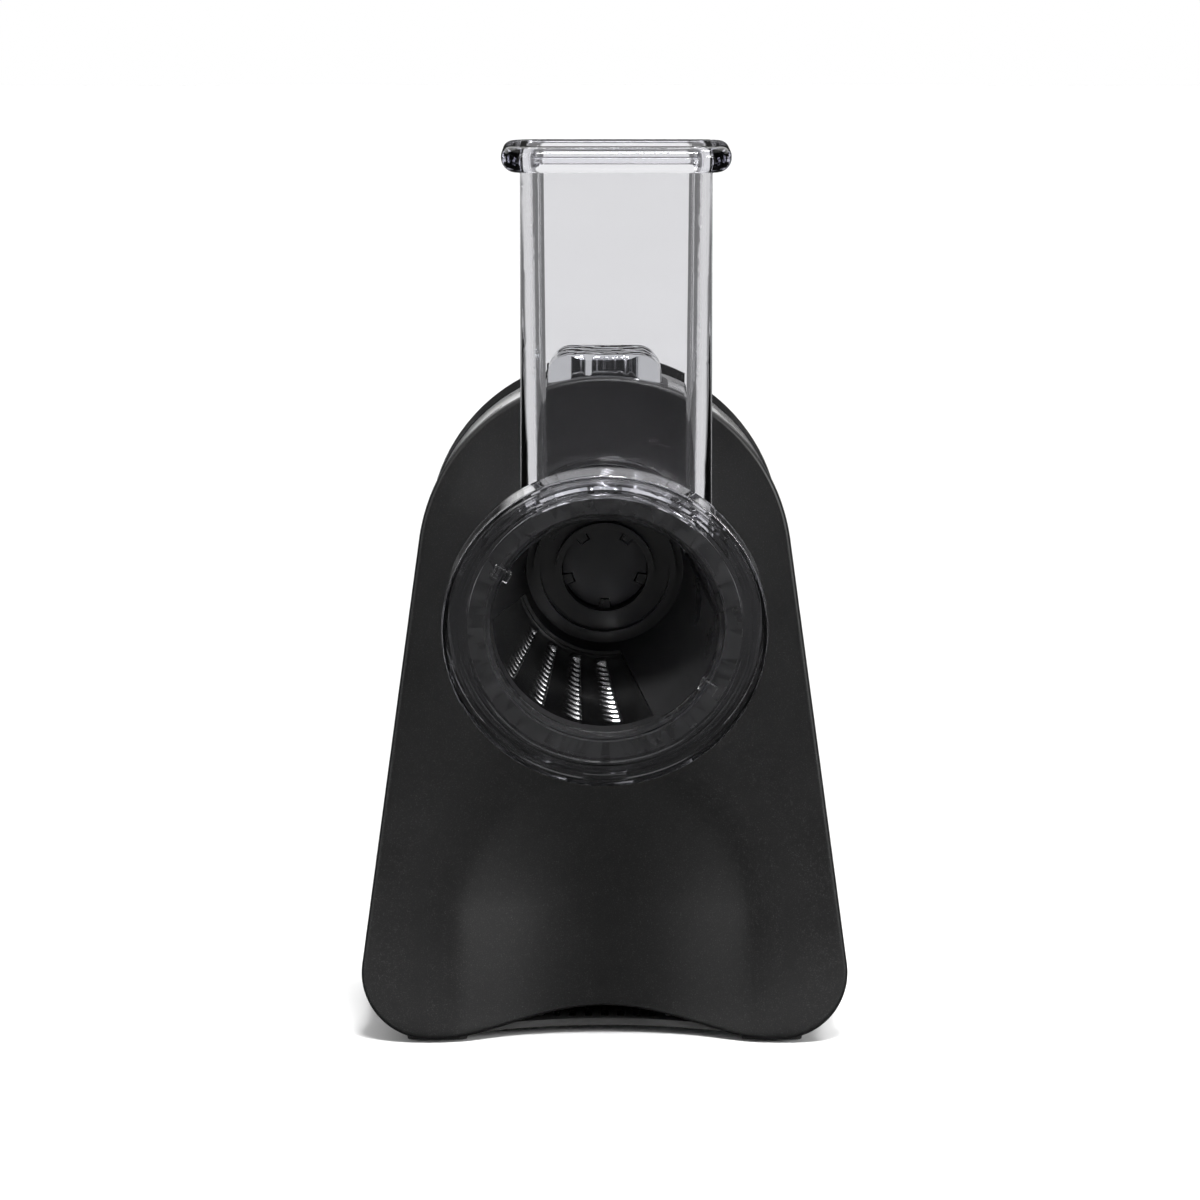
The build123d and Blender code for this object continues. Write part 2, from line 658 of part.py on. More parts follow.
def gearbox_rear():
    """The gearbox's back half, which carries the motor."""
    half = gearbox_half(BOX_BACK, BOX_BACK + BOX_WALL, BOX_SPLIT - 0.05)
    half += rod(BUSH_R + 2, BOX_BACK + 1, BOX_BACK + BUSH_LENGTH)
    half += rod(4.5, BOX_BACK + 1, BOX_BACK + 4, 0, IDLER_Y)
    half -= rod(BUSH_R, BOX_BACK - 1, -20)
    half -= rod(SMALL_SHAFT_R, BOX_BACK + 0.6, -25, 0, IDLER_Y)
    half -= rod(MOTOR_BOSS_R + 0.1, BOX_BACK - 1, -30, 0, MOTOR_Y)
    half -= [rod(1.6, BOX_BACK - 1, -30, x, MOTOR_Y) for x in MOTOR_SCREWS]
    return on_drive(half)


def gearbox_screws():
    """Long screws through both gearbox halves into the fascia's pads."""
    return [on_drive(Pos(x, y, BOX_BACK) * screw(3.0, 2.2, 1.45, 31.5)) for x, y in EARS]


def output_bushes():
    """The two plain bushes of the drum's shaft."""
    starts = (BOX_FRONT - BUSH_LENGTH, BOX_BACK)
    return [on_drive(tube(BUSH_R, SHAFT_R + RUNNING, z, z + BUSH_LENGTH)) for z in starts]


def idler_axle():
    """The fixed pin that the idler turns on."""
    return on_drive(rod(SMALL_SHAFT_R, BOX_BACK + 0.7, BOX_FRONT - 1.1, 0, IDLER_Y))


def shaft_seal():
    """The rubber lip seal round the drum's shaft in the fascia."""
    ring = turned((SHAFT_R + 1.2, SOCKET_FLOOR - SOCKET_WALL), (SEAL_R, SOCKET_FLOOR - SOCKET_WALL),
                  (SEAL_R, SOCKET_FLOOR), (SHAFT_R + 0.1, SOCKET_FLOOR),
                  (SHAFT_R + 0.1, SOCKET_FLOOR - 0.8), (SHAFT_R + 1.2, SOCKET_FLOOR - 0.8))
    return on_drive(ring)


# ---------------------------------------------------------------- output shaft

def output_shaft():
    """The drum's drive shaft."""
    shaft = chamfer(rod(SHAFT_R, BOX_BACK - 3, 3).edges(), 0.4)
    return on_drive(shaft - tube(6, SHAFT_R - 0.5, CIRCLIP_Z - 0.1, CIRCLIP_Z + 0.9))


def shaft_circlip():
    """The clip that keeps the shaft in its gearbox."""
    clip = tube(7.0, SHAFT_R - 0.5, CIRCLIP_Z, CIRCLIP_Z + 0.8)
    return on_drive(clip - box_between((-2, 0, CIRCLIP_Z - 1), (2, 10, CIRCLIP_Z + 2)))


def drive_coupler():
    """The notched boss that turns the drum."""
    crown = 1.6
    disc = rod(HUB_R, -3, 4.5)
    ball_r = (HUB_R ** 2 + crown ** 2) / (2 * crown)
    disc += Pos(0, 0, 4.5 + crown - ball_r) * Sphere(ball_r) & rod(HUB_R, 3, 8)
    sleeve = rod(7.5, -5, -2)
    cuts = [rod(SHAFT_R, -8, 3)]
    for i in range(NOTCHES):
        angle = HUB_PHASE + 360 / NOTCHES * i
        cuts.append(sector(HUB_R + 2, HUB_R - 3.4, -1, 9, angle, 9))
    return on_drive(disc + sleeve - cuts)


# ---------------------------------------------------------------- motor

def motor_can():
    """The motor's steel case."""
    front = BOX_BACK
    can = tube(CAN_R, CAN_R - CAN_WALL, CAN_BACK, front, 0, MOTOR_Y)
    can += rod(CAN_R, front - CAN_WALL, front, 0, MOTOR_Y)
    can += rod(MOTOR_BOSS_R, front - 4.6, front + 1.9, 0, MOTOR_Y)
    can -= rod(MOTOR_BUSH_R, front - 6, front + 3, 0, MOTOR_Y)
    vents = [rod(3, front - 5, front + 1, *vent_place(a)) for a in range(30, 360, 60)]
    screws = [rod(1.5, front - 5, front + 1, x, MOTOR_Y) for x in MOTOR_SCREWS]
    return on_drive(can - vents - screws)


def vent_place(angle):
    """Where a vent sits in the motor's end face."""
    x, y = polar(17, angle)
    return x, MOTOR_Y + y


def motor_magnets():
    """The two field magnets inside the case."""
    outer = CAN_R - CAN_WALL - 0.02
    place = Pos(0, MOTOR_Y, 0)
    return [on_drive(place * sector(outer, CORE_R + 1, MAGNET_BACK, BOX_BACK - 4, a, 62))
            for a in (0, 180)]


def motor_end_cap():
    """The plastic cap that closes the motor and carries its brushes."""
    cap = rod(CAN_R, CAP_BACK, CAN_BACK, 0, MOTOR_Y)
    cap -= rod(CAN_R - 3, CAP_BACK + 2.5, CAN_BACK + 1, 0, MOTOR_Y)
    cap += rod(7, CAP_BACK, CAP_BACK + 7, 0, MOTOR_Y)
    cap -= rod(MOTOR_BUSH_R, CAP_BACK - 1, CAP_BACK + 8, 0, MOTOR_Y)
    vents = [rod(3, CAP_BACK - 1, CAP_BACK + 4, *vent_place(a)) for a in (45, 90, 135, 225, 270, 315)]
    return on_drive(cap - vents)


def motor_bushes():
    """The two bushes of the motor's shaft."""
    bush = [tube(MOTOR_BUSH_R, SMALL_SHAFT_R + RUNNING, z, z + 6, 0, MOTOR_Y)
            for z in (BOX_BACK - 4.5, CAP_BACK + 0.5)]
    return [on_drive(b) for b in bush]


def brush_holders():
    """The two brass boxes that guide the brushes."""
    holders = []
    for side in (-1, 1):
        box = Pos(side * 15, MOTOR_Y, BRUSH_Z) * (Box(12, 7, 6.6) - Box(14, 5.1, 4.7))
        holders.append(on_drive(box))
    return holders


def carbon_brushes():
    """The two brushes that bear on the commutator."""
    length = 9.0
    middle = COMMUTATOR_R + 0.1 + length / 2
    return [on_drive(Pos(side * middle, MOTOR_Y, BRUSH_Z) * Box(length, 5, 4.6)) for side in (-1, 1)]


def motor_screws():
    """Two short screws that hold the motor on the gearbox."""
    head_up = Rot(180, 0, 0) * screw(2.8, 1.6, 1.4, 5)
    return [on_drive(Pos(x, MOTOR_Y, BOX_BACK + BOX_WALL) * head_up) for x in MOTOR_SCREWS]


def motor_shaft():
    """The motor's shaft."""
    return on_drive(chamfer(rod(SMALL_SHAFT_R, CAP_BACK + 0.6, -24.5, 0, MOTOR_Y).edges(), 0.3))


def slot_place(index):
    """Where a rotor slot's middle lies."""
    x, y = polar(12, 360 / SLOTS * index)
    return x, MOTOR_Y + y


def rotor_core():
    """The slotted steel stack of the rotor."""
    core = rod(CORE_R, CORE_BACK, CORE_FRONT, 0, MOTOR_Y) - rod(SMALL_SHAFT_R, -75, -40, 0, MOTOR_Y)
    cuts = [rod(3.5, -75, -40, *slot_place(i)) for i in range(SLOTS)]
    mouth = Pos(16, 0, -57) * Box(8, 1.8, 40)
    cuts += [Pos(0, MOTOR_Y, 0) * Rot(0, 0, 360 / SLOTS * i) * mouth for i in range(SLOTS)]
    return on_drive(core - cuts)


def rotor_windings():
    """The copper windings: packed slots joined by the end turns."""
    packs = [rod(3.3, CORE_BACK - 1, CORE_FRONT + 1, *slot_place(i)) for i in range(SLOTS)]
    ends = []
    for z, grow in ((CORE_FRONT + 0.1, 1), (CORE_BACK - 0.1, -1)):
        low, high = min(z, z + 3.5 * grow), max(z, z + 3.5 * grow)
        end = tube(15.6, 6.2, low, high, 0, MOTOR_Y)
        ends.append(fillet(end.edges().filter_by(GeomType.CIRCLE), 1.2))
    return on_drive(union(ends + packs))


def commutator():
    """The copper commutator."""
    drum = tube(COMMUTATOR_R, SMALL_SHAFT_R, -82, -73.8, 0, MOTOR_Y)
    gap = Pos(COMMUTATOR_R, 0, -78) * Box(1.6, 0.5, 12)
    return on_drive(drum - [Pos(0, MOTOR_Y, 0) * Rot(0, 0, 360 / SLOTS * i) * gap for i in range(SLOTS)])


# ---------------------------------------------------------------- clear housing

def chute_plan(width, depth, corner):
    """A rounded rectangle seen from above, centred on the feed chute."""
    return Pos(CHUTE_X, behind(CHUTE_BEHIND)) * RectangleRounded(width, depth, corner)


def chute_bore():
    """The inside of the feed chute, which narrows a little towards its root."""
    ends = ((CHUTE_ROOT_Z, CHUTE_WALL_ROOT), (RIM_Z + 1, CHUTE_WALL_TOP))
    plans = [Pos(0, 0, z) * chute_plan(CHUTE_WIDTH - 2 * wall, CHUTE_DEPTH - 2 * wall, CHUTE_BORE_ROUND)
             for z, wall in ends]
    return loft([plan.face() for plan in plans], ruled=True)


def shroud_line(height, wall):
    """Radius of the shroud's cone at a height along the drive axis."""
    slope = (SHROUD_FRONT_R - SHROUD_BACK_R) / SHROUD_FRONT
    return SHROUD_BACK_R + slope * max(0.0, height) + wall


def housing_outside():
    """The shroud and bell mouth, solid."""
    step = SHROUD_FRONT + 2.5
    back_r = shroud_line(0, SHROUD_WALL)
    front_r = shroud_line(SHROUD_FRONT - 2, SHROUD_WALL)
    body = turned((0, COLLAR_BACK), (back_r, COLLAR_BACK), (back_r, 0), (front_r, SHROUD_FRONT - 2),
                  (MOUTH_R - 2, SHROUD_FRONT), (MOUTH_R, step - 0.5),
                  (MOUTH_R, MOUTH_FRONT), (0, MOUTH_FRONT))
    return fillet(body.edges().sort_by(Axis.Z)[-1], MOUTH_ROUND)


def housing_inside():
    """The space inside the shroud and bell mouth."""
    step = SHROUD_FRONT + 2.5
    mouth_r = MOUTH_R - MOUTH_WALL
    return turned((0, COLLAR_BACK - 1), (SHROUD_BACK_R, COLLAR_BACK - 1), (SHROUD_BACK_R, 0),
                  (SHROUD_FRONT_R, SHROUD_FRONT), (SHROUD_FRONT_R + 3, step), (mouth_r, step + 0.5),
                  (mouth_r, MOUTH_FRONT + 1), (0, MOUTH_FRONT + 1))


def chute_outside():
    """The feed chute and its rolled rim, solid."""
    tower = upright(chute_plan(CHUTE_WIDTH, CHUTE_DEPTH, CHUTE_ROUND), CHUTE_ROOT_Z, RIM_Z)
    bead = upright(chute_plan(RIM_WIDTH, RIM_DEPTH, RIM_ROUND), RIM_Z - RIM_HEIGHT, RIM_Z)
    bead = fillet(bead.faces().sort_by(Axis.Z)[-1].edges(), 3.5)
    bead = fillet(bead.faces().sort_by(Axis.Z)[0].edges(), 5.0)
    return tower + bead


def chute_housing():
    """The clear moulding: feed chute, drum shroud and bell mouth in one."""
    lugs = [sector(SHROUD_BACK_R + SHROUD_WALL + 1.3, SHROUD_BACK_R + 1, -6.6, -3.6, a, BAYONET_HALF)
            for a in BAYONET_ANGLES]
    body = on_drive(housing_outside() + lugs)
    tower = chute_outside() - on_drive(rod(MOUTH_R, SHROUD_FRONT + 3, MOUTH_FRONT + 20))
    body = body + tower
    body = body - on_drive(housing_inside()) - chute_bore()
    stops = [sector(MOUTH_R - 1, MOUTH_R - MOUTH_WALL - 1.6, 75.2, 76.7, a, BAYONET_HALF)
             for a in RING_ANGLES]
    return body + [on_drive(stop) for stop in stops]


def lock_ring():
    """The clear ring that keeps the drum in the bell mouth."""
    step = RING_FRONT - RING_STEP
    wall_r = RING_R - 1.8
    seat_r = FLANGE_R + 0.6
    sleeve_end, lip_back, wall_back = 70.5, 77.2, 72.2
    body = turned((RING_BORE, sleeve_end), (RING_BORE + RING_WALL - 0.2, sleeve_end),
                  (RING_BORE + RING_WALL, step - RING_WALL), (seat_r + RING_WALL, step - RING_WALL),
                  (seat_r + RING_WALL, RING_FRONT - RING_WALL),
                  (wall_r - RING_WALL, RING_FRONT - RING_WALL), (wall_r - RING_WALL, wall_back),
                  (wall_r, wall_back), (wall_r, lip_back),
                  (RING_R, lip_back), (RING_R, RING_FRONT), (seat_r, RING_FRONT), (seat_r, step),
                  (RING_BORE, step))
    lugs = [sector(wall_r + 1.6, wall_r - 0.5, wall_back, wall_back + 2.6, a, BAYONET_HALF)
            for a in RING_ANGLES]
    tabs = [ring_tab(a) for a in TAB_ANGLES]
    return on_drive(body + lugs + tabs)


def ring_tab(angle):
    """A finger tab on the lock ring's face."""
    tab = Pos(RING_BORE + 1.6, 0, RING_FRONT - RING_STEP + 1.2) * Box(6.4, 4.4, 3.4)
    tab = fillet(tab.edges(), 0.6)
    return Rot(0, 0, angle) * tab


# ---------------------------------------------------------------- drum

def drum_line(height, offset=0.0):
    """Radius of the drum's outside at a height along the drive axis."""
    slope = (DRUM_FRONT_R - DRUM_BACK_R) / (DRUM_FRONT - DRUM_BACK)
    return DRUM_BACK_R + slope * (height - DRUM_BACK) + offset


def cone_shell(start, end, inner_offset, outer_offset):
    """A conical shell that follows the drum's outside."""
    return turned((drum_line(start, inner_offset), start), (drum_line(start, outer_offset), start),
                  (drum_line(end, outer_offset), end), (drum_line(end, inner_offset), end))


def window_wedge(angle, lap=0.0):
    """The block whose cut through the drum's wall makes a window."""
    back, front = WINDOW_START - lap, WINDOW_END + lap
    ends = []
    for height, half in ((back, WINDOW_BACK_HALF), (front, WINDOW_FRONT_HALF)):
        spread = radians(half) + lap / drum_line(height)
        reach = 60 / cos(spread)
        corners = ((0, 0), polar(reach, -degrees(spread)), polar(reach, degrees(spread)))
        ends.append(Plane.XY.offset(height) * make_face(Polyline(*corners, close=True)))
    return Rot(0, 0, angle) * loft(ends)


def drum_frame():
    """The black plastic drum: cone, flange, back plate and toothed collar."""
    cone = cone_shell(DRUM_BACK, DRUM_FRONT, -DRUM_WALL, 0)
    flange = tube(FLANGE_R, DRUM_FRONT_R - DRUM_WALL, DRUM_FRONT, DRUM_FRONT + FLANGE_THICKNESS)
    back = tube(DRUM_BACK_R, HUB_R + 0.4, DRUM_BACK, DRUM_BACK + 2.5)
    collar = tube(HUB_R + 2.8, HUB_R + 0.4, 0, 9) + tube(26, 23.5, DRUM_BACK + 1, 9)
    body = cone + flange + back + collar
    for i in range(NOTCHES):
        angle = HUB_PHASE + 360 / NOTCHES * i
        body += sector(HUB_R + 1, HUB_R - 2.9, 1, 5.5, angle, 7.4)
    body -= rod(RING_BORE + RING_WALL + 0.6, 70.0, DRUM_FRONT + FLANGE_THICKNESS + 1)
    for angle in WINDOW_ANGLES:
        seat = cone_shell(WINDOW_START - 6, WINDOW_END + 6, -PLATE_THICKNESS - 0.05, 1)
        body -= seat & window_wedge(angle, PLATE_LAP + 0.05)
        body -= window_wedge(angle) & cone_shell(WINDOW_START - 6, WINDOW_END + 6, -5, 5)
    return on_drive(body)


def shred_slot(height, angle):
    """A cutter for one shredding slot, square to the drum's wall."""
    slope = degrees(atan2(DRUM_FRONT_R - DRUM_BACK_R, DRUM_FRONT - DRUM_BACK))
    cutter = extrude(SlotOverall(5.0, 1.5), amount=3, both=True)
    x, y = polar(drum_line(height), angle)
    return Pos(x, y, height) * Rot(0, 0, angle) * Rot(0, 90 - slope, 0) * Rot(0, 0, 90) * cutter


def shred_slots(angle):
    """The rows of shredding slots of one plate."""
    slots = []
    for row in range(SHRED_ROWS):
        share = row / (SHRED_ROWS - 1)
        height = WINDOW_START + 5 + (WINDOW_END - WINDOW_START - 10) * share
        slots += [shred_slot(height, angle + turn) for turn in SHRED_COLUMNS]
    return slots


def grater_plate(angle):
    """One curved steel grating plate, let into the drum's window."""
    sheet = cone_shell(WINDOW_START - 6, WINDOW_END + 6, -PLATE_THICKNESS, 0)
    sheet &= window_wedge(angle, PLATE_LAP)
    return on_drive(sheet - shred_slots(angle))


# ---------------------------------------------------------------- export

def nodes():
    """Every sub-part by its name."""
    return {
        "front_fascia": front_fascia(), "steel_band": steel_band(), "rear_cover": rear_cover(),
        "base_plate": base_plate(), "rubber_feet": rubber_feet(), "base_screws": base_screws(),
        "rear_cover_screws": rear_cover_screws(), "button_bezel": button_bezel(),
        "power_button": power_button(), "button_spring": button_spring(), "switch_body": switch_body(),
        "switch_screws": switch_screws(), "cord_gland": cord_gland(), "cord_clamp": cord_clamp(),
        "cord_clamp_screws": cord_clamp_screws(), "rectifier_board": rectifier_board(),
        "board_screws": board_screws(), "shaft_seal": shaft_seal(), "gearbox_front": gearbox_front(),
        "gearbox_rear": gearbox_rear(), "gearbox_screws": gearbox_screws(),
        "output_bushes": output_bushes(), "idler_axle": idler_axle(), "output_shaft": output_shaft(),
        "output_gear": output_gear(), "drive_coupler": drive_coupler(), "shaft_circlip": shaft_circlip(),
        "idler_gear": idler_gear(), "motor_can": motor_can(), "motor_magnets": motor_magnets(),
        "motor_end_cap": motor_end_cap(), "motor_bushes": motor_bushes(), "brush_holders": brush_holders(),
        "carbon_brushes": carbon_brushes(), "motor_screws": motor_screws(), "motor_shaft": motor_shaft(),
        "rotor_core": rotor_core(), "rotor_windings": rotor_windings(), "commutator": commutator(),
        "motor_pinion": motor_pinion(), "chute_housing": chute_housing(), "lock_ring": lock_ring(),
        "drum_frame": drum_frame(), "grater_plate_a": grater_plate(WINDOW_ANGLES[0]),
        "grater_plate_b": grater_plate(WINDOW_ANGLES[1]),
    }


os.makedirs("parts", exist_ok=True)
for name, shape in nodes().items():
    pieces = shape if isinstance(shape, list) else [shape]
    solids = [solid for piece in pieces for solid in piece.solids()]
    part = solids[0] if len(solids) == 1 else Compound(children=solids)
    export_step(part, f"parts/{name}.step")
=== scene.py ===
import json
import math

import bpy
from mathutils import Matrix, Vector


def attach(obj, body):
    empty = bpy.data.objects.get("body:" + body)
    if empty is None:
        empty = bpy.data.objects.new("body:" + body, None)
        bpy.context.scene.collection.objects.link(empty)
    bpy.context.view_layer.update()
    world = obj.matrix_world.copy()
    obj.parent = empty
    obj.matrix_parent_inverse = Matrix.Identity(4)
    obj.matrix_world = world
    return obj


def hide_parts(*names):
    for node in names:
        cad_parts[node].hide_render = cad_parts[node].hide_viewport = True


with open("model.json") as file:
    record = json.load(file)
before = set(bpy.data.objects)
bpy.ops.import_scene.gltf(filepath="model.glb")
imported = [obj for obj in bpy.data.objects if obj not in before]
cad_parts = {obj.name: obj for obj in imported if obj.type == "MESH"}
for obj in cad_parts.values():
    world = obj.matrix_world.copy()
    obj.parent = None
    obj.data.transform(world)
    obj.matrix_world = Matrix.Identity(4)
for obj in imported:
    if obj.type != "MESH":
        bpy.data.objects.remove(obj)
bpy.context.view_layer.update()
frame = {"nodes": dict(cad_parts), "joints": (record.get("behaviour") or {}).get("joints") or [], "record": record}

MM = 0.001
JOINTS = {joint["name"]: joint for joint in frame["joints"]}
DRUM_AXIS = Vector(JOINTS["drum_spin"]["axis"])
DRUM_ORIGIN = Vector(JOINTS["drum_spin"]["pos_m"])
FASCIA_Y = DRUM_ORIGIN.y                    # plane of the fascia's front face

# Camera
CAMERA_X = -0.0017
CAMERA_DISTANCE = 2.0                       # in front of the fascia
CAMERA_HEIGHT = 0.431
CAMERA_PITCH = math.radians(7.566)
SENSOR = 36.0
LENS = 165.84
CLIP_NEAR = 0.05
CLIP_FAR = 60.0

# Clear plastic
CLEAR_IOR = 1.5

# Number of bounces between which a ray starts to count as reflected or refracted
BOUNCED = (0.4, 0.6)

# Floor
FLOOR_RADIUS = 9.0
FLOOR_CORNERS = 48
FLOOR_PAPER = (0.82, 0.82, 0.82)
FLOOR_CLOUD = (0.84, 0.84, 0.84)
# the floor as reflections see it, painted nearly black: a painted dark reflection
PAINTED_DARK_FLOOR_IN_REFLECTIONS = (0.015, 0.015, 0.015)
PAINTED_CARD_ANGLES = (math.radians(36.0), math.radians(62.0))        # pale cards painted on the floor that only reflections see, a painted reflection, from the front
PAINTED_CARD_EDGE = math.radians(8.0)
PAINTED_CARD_COLOUR = (0.36, 0.36, 0.36)
PAINTED_FLAGS_INNER = (math.radians(6.0), math.radians(9.0))    # dark flags painted on the floor that only refracted rays see, painted shade, from behind
PAINTED_FLAGS_OUTER = (math.radians(24.0), math.radians(38.0))
PAINTED_FLAG_DARKNESS = (0.85, 0.32)                # towards the inner border, and past the outer one
PAINTED_FLAG_COLOUR = (0.02, 0.02, 0.02)

# Surroundings by direction: x, y and z are those of a unit vector
BASE_LIGHT = 0.03
BACK_WALL_Y = (0.3, 0.6)
BACK_WALL_Z = (0.2, 0.3)
BACK_WALL_LIGHT = 1.3
CEILING_Z = (0.5, 0.7)
CEILING_LIGHT = 0.55
SOFTBOX_LEFT = (math.radians(-60.0), math.radians(-38.0))
SOFTBOX_RIGHT = (math.radians(38.0), math.radians(60.0))
SOFTBOX_EDGE = math.radians(6.0)
SOFTBOX_Z = (-0.1, 0.55)
SOFTBOX_Z_EDGE = 0.12
SOFTBOX_LEFT_LIGHT = 2.8
SOFTBOX_RIGHT_LIGHT = 3.2
STRIP_X = (0.1, 0.3)                        # two upright strips, either side of the camera
STRIP_X_EDGE = 0.04
STRIP_Y = (-0.6, -0.8)
STRIP_LIGHT = 0.15
PANEL_PITCH = math.radians(45.0)            # white panels all round, with darker gaps between
PANEL_GAP = (0.26, 0.36)                    # where a gap begins and where it is full, in pitches
GAP_DARKNESS = 0.8
SIDEWAYS_X = (0.3, 0.5)                     # refracted rays that leave to the side or upwards
SIDEWAYS_Z = (0.25, 0.4)
SIDEWAYS_LIGHT = 0.8

# Lamps
SPOT_PLACE = (0.06, -0.9, 1.2)
SPOT_TARGET = (0.0, -0.25, 0.0)
SPOT_CONE = math.radians(26.6)
SPOT_BLEND = 0.3
SPOT_RADIUS = 0.2
SPOT_POWER = 172.0
SIDE_PLACE = (0.9, -0.9, 0.5)
SIDE_TARGET = (0.0, 0.0, 0.1)
SIDE_SIZE = (0.35, 0.35)
SIDE_POWER = 5.5
SUN_FROM = (0.5, -0.1, 1.3)
SUN_STRENGTH = 1.6
SUN_ANGLE = math.radians(20.0)

# Fascia
DOME_R = 68.37 * MM                         # both outline radii stay just inside the CAD's width
DOME_Z = 178.2 * MM
CORNER_R = 24.97 * MM
CORNER_X = 64.6 * MM
CORNER_Z = 26.5 * MM
FASCIA_PLATE = 2.5 * MM
FASCIA_SKIRT = 6.0 * MM
FASCIA_EDGE = 1.6 * MM                      # rounding of the front edge
ARCH_HALF = 62.0 * MM
ARCH_RISE = 9.3 * MM
BOWL_R = 88.0 * MM
BOWL_DEPTH = 17.0 * MM
BOWL_SHOULDER_Z = 49.0 * MM
BOWL_BLEND = 5.0 * MM                       # softness of the bowl recess's border
SOCKET_R = 37.2 * MM
SOCKET_FLOOR = -7.5 * MM
SOCKET_WALL = 2.5 * MM
SOCKET_LIP = 0.6 * MM                       # bevel from the face into the socket
SOCKET_FILLET = 0.5 * MM                    # between the socket's wall and floor
SEAL_R = 9.55 * MM
CORNER_STEPS = 40
SIDE_STEPS = 70
DOME_STEPS = 130
ARCH_STEPS = 100
EDGE_STEPS = 6
FACE_STEPS = 90
HIDDEN_STEPS = 30

# Drum and its grating plates, along the drive axis
DRUM_BACK = 4.0 * MM
DRUM_FRONT = 72.5 * MM
DRUM_BACK_R = 30.0 * MM
DRUM_FRONT_R = 43.0 * MM
WINDOW_ANGLES = {"grater_plate_a": 238.0, "grater_plate_b": 58.0}
WINDOW_BACK_HALF = 43.0                     # degrees
WINDOW_FRONT_HALF = 58.0                    # degrees
WINDOW_START = 13.0 * MM
WINDOW_END = 66.0 * MM
PLATE_THICKNESS = 0.6 * MM
PLATE_LAP = 2.3 * MM
PLATE_MARGIN = 5.0 * MM                     # from the window's ends to the first and last teeth
TOOTH_COLUMNS = (-23.0, -5.5, 12.0, 29.5)   # degrees from the window's middle
TOOTH_HALF = 4.8                            # degrees
TOOTH_ROWS = 13
TOOTH_HEIGHT = 1.5 * MM
TOOTH_FULLNESS = 0.7                        # below 1, an arch is fuller than a parabola
TOOTH_RAMP = 0.95                           # share of a tooth's width over which it rises
TOOTH_MOUTH = 0.004                         # width of its open side, as a share of the half window
TOOTH_GAP = 0.02                            # from its high side to the flat sheet, as the same share
ROW_STEPS = 10
COLUMN_STEPS = 12
BETWEEN_STEPS = 3
LAST_STEPS = 4


# ---------------------------------------------------------------- materials

class Nodes:
    """A node tree, with short calls to add, link and combine nodes."""

    def __init__(self, tree):
        self.tree = tree

    def node(self, kind, **attributes):
        made = self.tree.nodes.new(kind)
        for label, value in attributes.items():
            setattr(made, label, value)
        return made

    def link(self, source, target):
        self.tree.links.new(source, target)

    def put(self, value, socket):
        """Links an output to a socket, or sets the socket to a number or colour."""
        if isinstance(value, bpy.types.NodeSocket):
            self.link(value, socket)
        else:
            socket.default_value = value

    def math(self, operation, a, b=0.0):
        made = self.node("ShaderNodeMath", operation=operation)
        for socket, value in zip(made.inputs, (a, b)):
            self.put(value, socket)
        return made.outputs[0]

    def mixed(self, factor, a, b, data_type="FLOAT"):
        """a where the factor is 0 and b where it is 1."""
        made = self.node("ShaderNodeMix", data_type=data_type)
        for label, value in (("Factor", factor), ("A", a), ("B", b)):
            self.put(value, made.inputs[label])
        return made.outputs["Result"]


class Recipe(Nodes):
    """A material's node tree, with short calls for what most materials need."""

    def __init__(self, name, colour, roughness, **settings):
        self.material = bpy.data.materials.new(name)
        self.material.use_nodes = True
        super().__init__(self.material.node_tree)
        self.shader = self.tree.nodes["Principled BSDF"]
        self.set_input("Base Color", (*colour, 1.0))
        self.set_input("Roughness", roughness)
        for label, value in settings.items():
            self.set_input(label.replace("_", " "), value)
        self.colour = colour
        self.roughness = roughness
        self.place = self.node("ShaderNodeTexCoord").outputs["Object"]
        self.normal = None

    def set_input(self, label, value):
        self.shader.inputs[label].default_value = value

    def stretched(self, scale):
        """Object coordinates, scaled differently along the three axes."""
        mapping = self.node("ShaderNodeMapping")
        mapping.inputs["Scale"].default_value = scale
        self.link(self.place, mapping.inputs["Vector"])
        return mapping.outputs["Vector"]

    def noise(self, scale, detail=3.0, stretch=None, distortion=0.0):
        texture = self.node("ShaderNodeTexNoise")
        texture.inputs["Scale"].default_value = scale
        texture.inputs["Detail"].default_value = detail
        texture.inputs["Distortion"].default_value = distortion
        self.link(self.stretched(stretch) if stretch else self.place, texture.inputs["Vector"])
        return texture.outputs["Fac"]

    def ranged(self, source, low, high, from_low=0.3, from_high=0.7):
        """A texture's value brought to a range."""
        shift = self.node("ShaderNodeMapRange")
        shift.inputs["From Min"].default_value = from_low
        shift.inputs["From Max"].default_value = from_high
        shift.inputs["To Min"].default_value = low
        shift.inputs["To Max"].default_value = high
        self.link(source, shift.inputs["Value"])
        return shift.outputs["Result"]

    def vary_roughness(self, source, spread):
        low = max(0.0, self.roughness - spread)
        self.link(self.ranged(source, low, self.roughness + spread), self.shader.inputs["Roughness"])
        return self

    def vary_colour(self, source, other, from_low=0.3, from_high=0.7):
        """Blends the base colour with another by a texture."""
        share = self.ranged(source, 0.0, 1.0, from_low, from_high)
        blend = self.mixed(share, (*self.colour, 1.0), (*other, 1.0), "RGBA")
        self.link(blend, self.shader.inputs["Base Color"])
        return self

    def bump(self, source, height, strength=1.0):
        """Adds a bump of a height in metres to the ones before it."""
        made = self.node("ShaderNodeBump")
        made.inputs["Distance"].default_value = height
        made.inputs["Strength"].default_value = strength
        self.link(source, made.inputs["Height"])
        if self.normal:
            self.link(self.normal, made.inputs["Normal"])
        self.normal = made.outputs["Normal"]
        self.link(self.normal, self.shader.inputs["Normal"])
        return self


